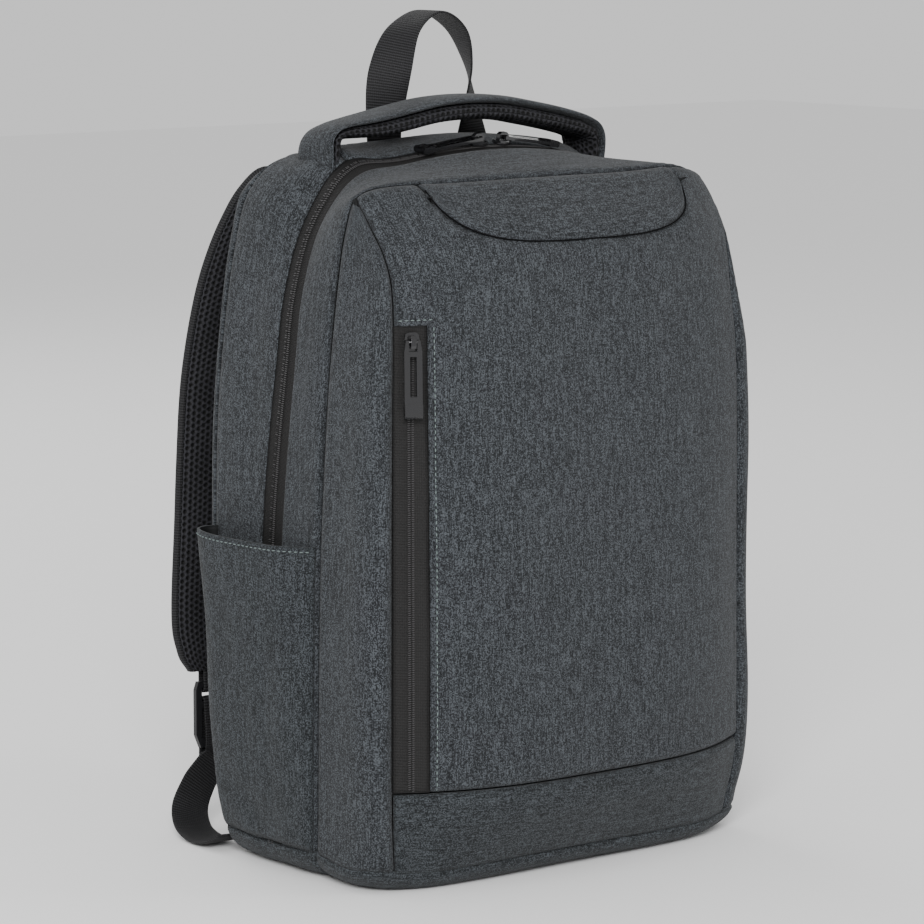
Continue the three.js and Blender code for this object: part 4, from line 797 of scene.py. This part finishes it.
tape_rows = np.linspace(BAND_TOP + 0.6, TAPE_TOP - 0.2, 90)
tape_cols = np.linspace(GAP / FACE_WIDTH, (slot_width - GAP) / FACE_WIDTH, 8)
tape_h = share_up(tape_cols[None, :], tape_rows[:, None])
front_tape = face(tape_cols[None, :] + 0 * tape_h, tape_h) + (0, TAPE_SUNK, 0)
shell("front_tape", front_tape, FORWARD, ["front_zip_tape"], TAPE, "rows", 0.9)
front_coil = front_tape[:, 3:5].mean(1)
coil_out = normals_of(front_tape, FORWARD)[:, 3]
coil_across, _ = route_frames(front_coil, (1, 0.0, 0))
coil_teeth("front_coil", front_coil + coil_out * 0.5, coil_across, coil_out, ["front_zip_coil"], ends=(2, 3))

yoke_rows = spread(32, 3.0, (0, 0.8, 1.8, 3.2, 5.4))
crest_z = np.interp(yoke_x, crest[:, 0], crest[:, 2])
yoke_z = yoke_low + (crest_z - yoke_low - 0.3) * yoke_rows[:, None]
yoke_grid = face(*share_across(yoke_x[None, :] + 0 * yoke_z, yoke_z))
proud = YOKE_PROUD * np.clip((crest_z - yoke_z) / 8, 0, 1)
yoke_grid = yoke_grid + normals_of(yoke_grid, FORWARD) * proud[..., None]
yoke = dressed(yoke_grid, FORWARD, sewn="flse", slack=0.3, dip=1.0, turn=3.2, pucker=0.0)
shell("front_yoke_cloth", yoke, FORWARD, ["front_yoke"], grain="columns")
# A thin near-black cord sunk along the yoke's edge: painted shade for the seam's groove.
yoke_edge = resampled(np.vstack([yoke_grid[::-1, 0], yoke_grid[0, 1:], yoke_grid[1:, -1]]), 220)
yoke_edge = yoke_edge[np.interp(yoke_edge[:, 0], crest[:, 0], crest[:, 2]) - yoke_edge[:, 2] > 3]
e_across, e_out = route_frames(yoke_edge, FORWARD)
yoke_shade_cord = swept(yoke_edge, e_across, e_out, lambda t: pad_section(0.9, -0.5, 0.4, 10, 2))
tube("front_yoke_seam_shade", yoke_shade_cord, [], YOKE_SEAM_SHADE)

band_rows = spread(50, 4.0)
band_u = spread(FACE_WIDTH, 4.2)
band_top = share_up(band_u, BAND_TOP - 0.2)
band_h = band_top * band_rows[:, None]
band_grid = face(band_u[None, :] + 0 * band_h, band_h)
band = dressed(band_grid, FORWARD, sewn="lse", soft="f", slack=0.7)
shell("base_band_cloth", band, FORWARD, ["base_band"], FABRIC_DARK, grain="columns")

# Base: a tray from the feet of all the pieces round to its flat
back_face = back_seam[0, 1] + GAP + 8
rim_left = np.vstack([
    np.stack([np.linspace(0, back_seam[0, 0] + 8, 28), np.full(28, back_face), np.full(28, BASE_RIM)], 1),
    [back_seam[0]], rear_grid[4:-2:2, 0], [zip_rear[0], zip_line[0], zip_front[0]], front_grid[3:-2:2, 0],
    fold_grid[::-1, 0][::2], face(np.linspace(0, 0.5, 32)[1:], 0.0),
])
rim = np.vstack([rim_left, mirrored(rim_left[-2:0:-1])])
reach = np.linalg.norm(rim[:, :2], axis=1)


def tray_ring(turn):
    keep = 1 - BASE_CORNER * (1 - math.cos(turn)) / reach
    return np.stack([rim[:, 0] * keep, rim[:, 1] * keep, (rim[:, 2] - 0.4) * (1 - math.sin(turn))], 1)


def sewn_ring(pull, up):
    """The rim pulled in and up, where the tray is sewn on."""
    return rim * ((1 - pull / reach)[:, None] * (1, 1, 0) + (0, 0, 1)) + (0, 0, up)


rings = [tray_ring(t) for t in np.linspace(0, math.pi / 2, 12)[2:]]
sewn_rings = [sewn_ring(*place) for place in ((3.0, 1.8), (1.3, 0.5), (0.4, -0.5), (0.05, -1.6))]
tray = np.array(sewn_rings + rings + [rings[-1] * (s, s, 1) for s in (0.8, 0.55, 0.3, 0.1)])
last = (len(tray) - 1) * len(rim)
base_faces = quads(len(tray), len(rim), wrap=True).tolist() + [list(range(last, last + len(rim)))]
base = mesh_piece("bottom_cloth", tray.reshape(-1, 3), base_faces, lay(tray, "columns", 41.0),
                  FABRIC_DARK, "root", ["bottom_panel"])
solid = base.modifiers.new("thickness", "SOLIDIFY")
solid.thickness, solid.offset = 1.2 * MM, 0

# Bottle pockets
skin = np.concatenate([rear_grid, front_grid])
pocket_out = curve_table(POCKET)


def side_at(z):
    """The side's points at a height, from the back forwards."""
    up = slice(SIDE + 1)
    return np.array([[np.interp(z, line[up, 2], line[up, k]) for k in (0, 1)] for line in skin])


pocket_back = spread(POCKET_WIDTH, 3.2, (0, 0.7, 1.6, 3.0, 5.0, 8.0))
pocket_up = np.concatenate([np.linspace(0, 1, 48)[:-2], [0.965, 0.985, 1.0]])
pocket_grid = []
for up in pocket_up:
    line = []
    for share in pocket_back:
        z = POCKET_FOOT + (POCKET_TOP + POCKET_LIFT * share**3 - POCKET_FOOT) * up
        side = side_at(z)
        y = side[-1, 1] + POCKET_EDGE + (side[0, 1] - side[-1, 1] - 2 * POCKET_EDGE) * share
        bulge = pocket_out(share)[0]
        stand = GAP + POCKET_WALL + COIL_OUT * min(1, 4 * bulge) + POCKET_BULGE * bulge * up**0.9
        line.append((np.interp(-y, -side[:, 1], side[:, 0]) - stand, y, z))
    pocket_grid.append(line)
pocket_grid = np.array(pocket_grid)
pocket_cloth = dressed(pocket_grid, pocket_grid * (1, 0, 0), sewn="fse", slack=1.0, dip=1.2)
for name, grid in (("left", pocket_cloth), ("right", mirrored(pocket_cloth))):
    shell(f"pocket_{name}_cloth", grid, grid * (1, 0, 0), [f"pocket_{name}"], FABRIC_DARK)
    hem_out = normals_of(grid, grid * (1, 0, 0))[-2, 3:-3]
    stitched(f"pocket_{name}_stitches", grid[-2, 3:-3] + hem_out * 0.1, hem_out)

# Back panel: a padded cover with four mesh pads
def patch(low, high, left, right):
    """Coons patch between four lines that meet at their ends."""
    u = np.linspace(0, 1, len(low))[None, :, None]
    v = np.linspace(0, 1, len(left))[:, None, None]
    flat = (1 - v) * ((1 - u) * low[0] + u * low[-1]) + v * ((1 - u) * high[0] + u * high[-1])
    return (1 - v) * low[None] + v * high[None] + (1 - u) * left[:, None] + u * right[:, None] - flat


BACKWARD = np.array([0, 1, 0])
back_left = back_seam[: SIDE + 1]
back_top = back_seam[SIDE : SIDE + TOP + 1]
back_low = np.linspace(back_left[0], mirrored(back_left[:1])[0], TOP + 1)
cover = patch(back_low, back_top, back_left, mirrored(back_left))
rim_gap = np.minimum.reduce(edge_gaps(cover))
rounded = np.sqrt(1 - (1 - np.clip(rim_gap / 8, 0, 1)) ** 2)
cover[..., 1] += GAP + 6.5 * rounded + 0.5 * waves(cover, 0.6) * rounded
shell("back_cover", cover, BACKWARD, ["back_panel"], grain="rows", thick=2.0)


def cushion(name, left, right, low, high, bulge):
    """Mesh pad on the back, domed between its sewn edges."""
    u, v = np.meshgrid(np.linspace(-1, 1, 56), np.linspace(-1, 1, 84))
    bend = 1 - 0.1 * np.abs(v) ** 4
    x = (left + right) / 2 + (right - left) / 2 * u * bend
    z = (low + high) / 2 + (high - low) / 2 * v * (1 - 0.06 * np.abs(u) ** 4)
    rise = (1 - np.abs(u) ** 7) ** 0.5 * (1 - np.abs(v) ** 9) ** 0.5
    depth = np.interp(z, [16, 200, 330, 400, 430], [77, 79, 78, 75.5, 68])
    y = depth + GAP + 5.5 + bulge * rise
    grid = np.stack([x, y, z], -1)
    pad = shell(name, grid, BACKWARD, [], MESH, "rows", 3.0)


for side, sign in (("left", -1), ("right", 1)):
    for level, low, high in (("low", 40, 196), ("high", 206, 376)):
        ends = sorted((sign * 14, sign * 118))
        cushion(f"back_pad_{level}_{side}", *ends, low, high, 6.5)

# Carry handle
half = np.array([
    (-HANDLE_HALF * a, HANDLE_Y, HANDLE_RISE + (HANDLE_FOOT - HANDLE_RISE) * d) for a, d in HANDLE[::-1]
])
handle_line = resampled(smooth_line(np.vstack([half, mirrored(half[-2::-1])])), 150)
handle_line[:, 1] += HANDLE_BACK * np.abs(np.linspace(-1, 1, len(handle_line))) ** 3
h_across, h_out = route_frames(handle_line, (0, -1, 0))


def skin_height(x, y):
    """Height of the top of the bag at x and y."""
    spots = []
    for line in skin:
        over = line[SIDE - 40 : SIDE + TOP // 2 + 1]
        order = np.argsort(over[:, 0])
        spots.append([np.interp(-abs(x), over[order, 0], over[order, k]) for k in (1, 2)])
    spots = np.array(spots)[::-1]
    return np.interp(y, spots[:, 0], spots[:, 1])


def seated(rings, count=7, sunk=1.5):
    """The handle's rings with both ends brought down to the top of the bag, all round."""
    rings = rings.copy()
    for ends in (range(count), range(len(rings) - 1, len(rings) - 1 - count, -1)):
        for k, ring_index in enumerate(ends):
            for point in rings[ring_index]:
                low = skin_height(point[0], point[1]) - sunk
                share = 1 - k / (count - 1)
                point[2] += (low - point[2]) * share**1.5
    return rings


def handle_section(t):
    thin = 1 - 0.35 * abs(2 * t - 1) ** 8
    return pad_section(HANDLE_WIDTH, 0, HANDLE_THICK * thin, 36, 2.3)


def handle_lining(t):
    thick = HANDLE_PAD * (1 - 0.5 * abs(2 * t - 1) ** 6)
    return pad_section(HANDLE_WIDTH - 2, -GAP - thick, 0.6, 96, 2.5)


top_rings = swept(handle_line, h_across, h_out, handle_section)
tube("handle_cover", seated(top_rings), ["handle_top"], FABRIC)


def pad_rings(line, across, out, section, pitch, depth):
    """Rings of a pad in spacer mesh, its cells pitch apart and depth deep."""
    rings = swept(line, across, out, section)
    normals = unit(np.cross(np.roll(rings, -1, 1) - np.roll(rings, 1, 1), np.gradient(rings, axis=0)))
    if (normals * (rings - rings.mean(1, keepdims=True))).sum() < 0:
        normals = -normals
    down, over = evened(rings)
    cells = 0
    for a in CELL_WAYS:
        cells = cells + np.cos((over * math.cos(a) + down * math.sin(a)) * 2 * math.pi / pitch)
    return rings - normals * (depth * np.clip(cells / 3, -0.2, 1))[..., None]


fine_handle = resampled(handle_line, 290)
f_across, f_out = route_frames(fine_handle, (0, -1, 0))
pad_shape = pad_rings(fine_handle, f_across, f_out, handle_lining, 4.2, 0.9)
handle_pad = tube("handle_mesh", seated(pad_shape, 14, 2.5), ["handle_pad"], MESH)

# Haul loop: webbing that turns half round between its sewn ends
loop_rows = np.array([(w * LOOP_HALF, LOOP_Y, LOOP_FOOT + (LOOP_TOP - LOOP_FOOT) * h) for w, h in LOOP])
loop_line = resampled(smooth_line(loop_rows), 110)
t = np.linspace(0, 1, len(loop_line))
rise, fall = np.clip(t / 0.5, 0, 1), np.clip((t - 0.5) / 0.5, 0, 1)
turn = math.pi / 2 * (rise**2 * (3 - 2 * rise) + fall**1.6)
l_across, l_out = route_frames(loop_line, np.stack([np.cos(turn), -np.sin(turn), 0 * turn], 1))
loop_section = pad_section(LOOP_WIDTH, -WEBBING_HALF, WEBBING_HALF, 28, 5)
loop_rings = swept(loop_line, l_across, l_out, lambda t: loop_section)
tube("haul_webbing", loop_rings, ["haul_loop"], WEBBING)

# Shoulder straps and what hangs from them
strap_rows = np.array([
    (-w * STRAP_SPREAD, STRAP_START + b * STRAP_BOW, h * BODY_HEIGHT) for w, b, h in STRAP
])
strap_line = resampled(smooth_line(strap_rows), 130)
s_across, s_out = route_frames(strap_line, (1, 0, 0), squared=False)
strap_shape = curve_table(STRAP_SHAPE)


def strap_cover(t):
    wide, thick = strap_shape(t)
    return pad_section(STRAP_WIDTH * wide, 0.2, 5 * thick, 40, 2.6)


def strap_lining(t):
    wide, thick = strap_shape(t)
    return pad_section(STRAP_WIDTH * wide - 3, -6 * thick, 0.6, 110, 2.8)


fine_strap = resampled(strap_line, 270)
fs_across, fs_out = route_frames(fine_strap, (1, 0, 0), squared=False)
cover_rings = swept(strap_line, s_across, s_out, strap_cover)
lining_rings = pad_rings(fine_strap, fs_across, fs_out, strap_lining, 3.8, 0.8)


def binding(line, across, out, side):
    """Webbing tape folded over the strap's edge."""
    wide = np.array([strap_shape(t)[0] for t in np.linspace(0, 1, len(line))])
    edge = line + across * (side * (STRAP_WIDTH * wide / 2 - 1.2))[:, None] + out * 0.2
    return swept(edge, across, out, lambda t: pad_section(4.0, -2.6, 2.6, 16, 3))


# Lower end of a strap: its tab, the ladder lock and the webbing down to the base
END = strap_line[-1]
LOOPED = 2.7  # half the gap between the runs of a band round a bar
LOCK_TOP = END[2] - 7
LOCK_LOW = LOCK_TOP - 42
BAR = LOCK_TOP - 13
FLOOR_CLEAR = 1.3 * 2 * WEBBING_HALF
half_turn = np.linspace(0, math.pi, 14)


def round_bar(height, way):
    """Half turn of a band over a bar where way is 1, under it where way is -1."""
    back, up = -LOOPED * np.cos(half_turn), way * LOOPED * np.sin(half_turn)
    return np.stack([0 * half_turn + END[0], END[1] + back, height + up], 1)


tab_rows = np.vstack([
    [(END[0], END[1] - LOOPED, END[2] + 6), (END[0], END[1] - LOOPED, END[2] - 1)],
    round_bar(LOCK_TOP - 4, -1),
    [(END[0], END[1] + LOOPED, END[2] - 1), (END[0], END[1] + LOOPED, END[2] + 6)],
])
tab_line = resampled(tab_rows, 40)

foot = np.array([back_seam[0, 0] + 11.5, back_face + 1.5, BASE_RIM * 0.55])
# Shares of the way out to the foot, back from it and of the height
DROP = [
    (0.12, 1.0, 0.78), (0.38, 1.02, 0.52), (0.62, 0.96, 0.26), (0.82, 0.76, 0.08), (0.94, 0.46, 0),
    (1.0, 0.16, 0.03),
]
drop_rows = [(END[0], END[1] - LOOPED, BAR), (END[0], END[1] - LOOPED, LOCK_LOW - 3)]
for out, back, high in DROP:
    drop_rows.append((
        END[0] + (foot[0] - END[0]) * out, foot[1] + (END[1] - foot[1]) * back,
        FLOOR_CLEAR + (LOCK_LOW - FLOOR_CLEAR) * high,
    ))
drop = smooth_line(np.array(drop_rows + [foot]))
tail = [(END[0], END[1] + LOOPED, LOCK_LOW - 14)]
webbing_line = resampled(np.vstack([drop[::-1], round_bar(BAR, 1)[1:], tail]), 120)


def band_rings(line):
    across, out = route_frames(line, (1, 0, 0))
    section = pad_section(STRAP_WEBBING, -WEBBING_HALF, WEBBING_HALF, 24, 5)
    return swept(line, across, out, lambda t: section)


tab_rings, webbing_rings = band_rings(tab_line), band_rings(webbing_line)
for name, flip in (("left", lambda p: p), ("right", mirrored)):
    strap = tube(f"strap_{name}_cover", flip(cover_rings), [f"strap_{name}"], FABRIC_DARK)
    lining = tube(f"strap_{name}_lining", flip(lining_rings), [f"strap_mesh_{name}"], MESH)
    for edge, side in (("outer", -1), ("inner", 1)):
        bound = binding(strap_line, s_across, s_out, side)
        tube(f"strap_{name}_{edge}_binding", flip(bound), [], WEBBING)
    tube(f"strap_{name}_tab", flip(tab_rings), [f"strap_tab_{name}"], WEBBING)
    tube(f"strap_{name}_webbing", flip(webbing_rings), [f"strap_webbing_{name}"], WEBBING)

# Rows of stitches on the front face
zip_edge = panel[2 : len(lower), len(tape_u) + 4]
zip_edge_out = panel_normals[1 : len(lower) - 1, len(tape_u) + 3]
stitched("front_zip_stitches", zip_edge, zip_edge_out)
over_zip = panel[len(lower) + 3, 3 : len(tape_u) + 5]
stitched("front_zip_top_stitches", over_zip, panel_normals[len(lower) + 2, 2 : len(tape_u) + 4])

# Hardware keeps the frame's own solids, with softened edges
for node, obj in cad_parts.items():
    if "slider" in node or "puller" in node or "ladder_lock" in node:
        metal = "ladder_lock" not in node
        obj.data.materials.clear()
        obj.data.materials.append(NICKEL if metal else ACETAL)
        bevel = obj.modifiers.new("softened", "BEVEL")
        bevel.width, bevel.segments, bevel.limit_method = (0.45 if metal else 0.8) * MM, 3, "ANGLE"

# Floor, lights and the camera at the photograph's angle
floor_mesh = bpy.data.meshes.new("floor")
floor_mesh.from_pydata([(-6, -6, 0), (6, -6, 0), (6, 6, 0), (-6, 6, 0)], [], [(0, 1, 2, 3)])
floor = bpy.data.objects.new("floor", floor_mesh)
bpy.context.scene.collection.objects.link(floor)
# Matt, near white: the bag's shadow shows on it
pale = bpy.data.materials.new("pale_floor")
pale.use_nodes = True
paint = pale.node_tree.nodes["Principled BSDF"].inputs
paint["Base Color"].default_value = linear("#f4f4f4")
paint["Roughness"].default_value = 0.9
floor.data.materials.append(pale)

world = bpy.data.worlds.new("studio")
world.use_nodes = True
sky = world.node_tree.nodes["Background"].inputs
sky["Color"].default_value = (1, 1, 1, 1)
sky["Strength"].default_value = 0.85
bpy.context.scene.world = world


def placed(x, y, z, place):
    """Matrix of these axes at this place."""
    return Matrix([*np.stack([x, y, z, place], 1).tolist(), (0, 0, 0, 1)])


def area_light(name, place, aim, size, power):
    """Round softbox aimed at a point, in metres and watts."""
    lamp = bpy.data.lights.new(name, "AREA")
    lamp.shape, lamp.size, lamp.energy = "DISK", size, power
    obj = bpy.data.objects.new(name, lamp)
    z = unit(np.array(place, float) - np.array(aim, float))
    x = unit(np.cross((0, 0, 1), z))
    obj.matrix_world = placed(x, np.cross(z, x), z, place)
    bpy.context.scene.collection.objects.link(obj)


area_light("key", (-2.05, -2.15, 1.55), (0, 0, 0.22), 1.3, 115)
area_light("rim", (0.3, 2.4, 1.8), (0, 0, 0.3), 1.8, 20)
area_light("glint", (1.75, -1.85, 0.75), (0, 0, 0.3), 0.45, 7)

AZ, EL = math.radians(-40), math.radians(7.8)
AIM, DISTANCE, FOCAL = np.array([-12.2, 11.8, 236.5]), 2683, 4400
look = np.array([math.sin(AZ) * math.cos(EL), -math.cos(AZ) * math.cos(EL), math.sin(EL)])
right = np.array([math.cos(AZ), math.sin(AZ), 0])
above = np.cross(look, right)
eye = (AIM + look * DISTANCE) * MM
camera_data = bpy.data.cameras.new("camera")
camera_data.sensor_width, camera_data.lens = 36, 36 * FOCAL / 924
camera_data.clip_start, camera_data.clip_end = 0.05, 30
camera = bpy.data.objects.new("camera", camera_data)
camera.matrix_world = placed(right, above, look, eye)
bpy.context.scene.collection.objects.link(camera)
bpy.context.scene.camera = camera

bpy.context.view_layer.update()
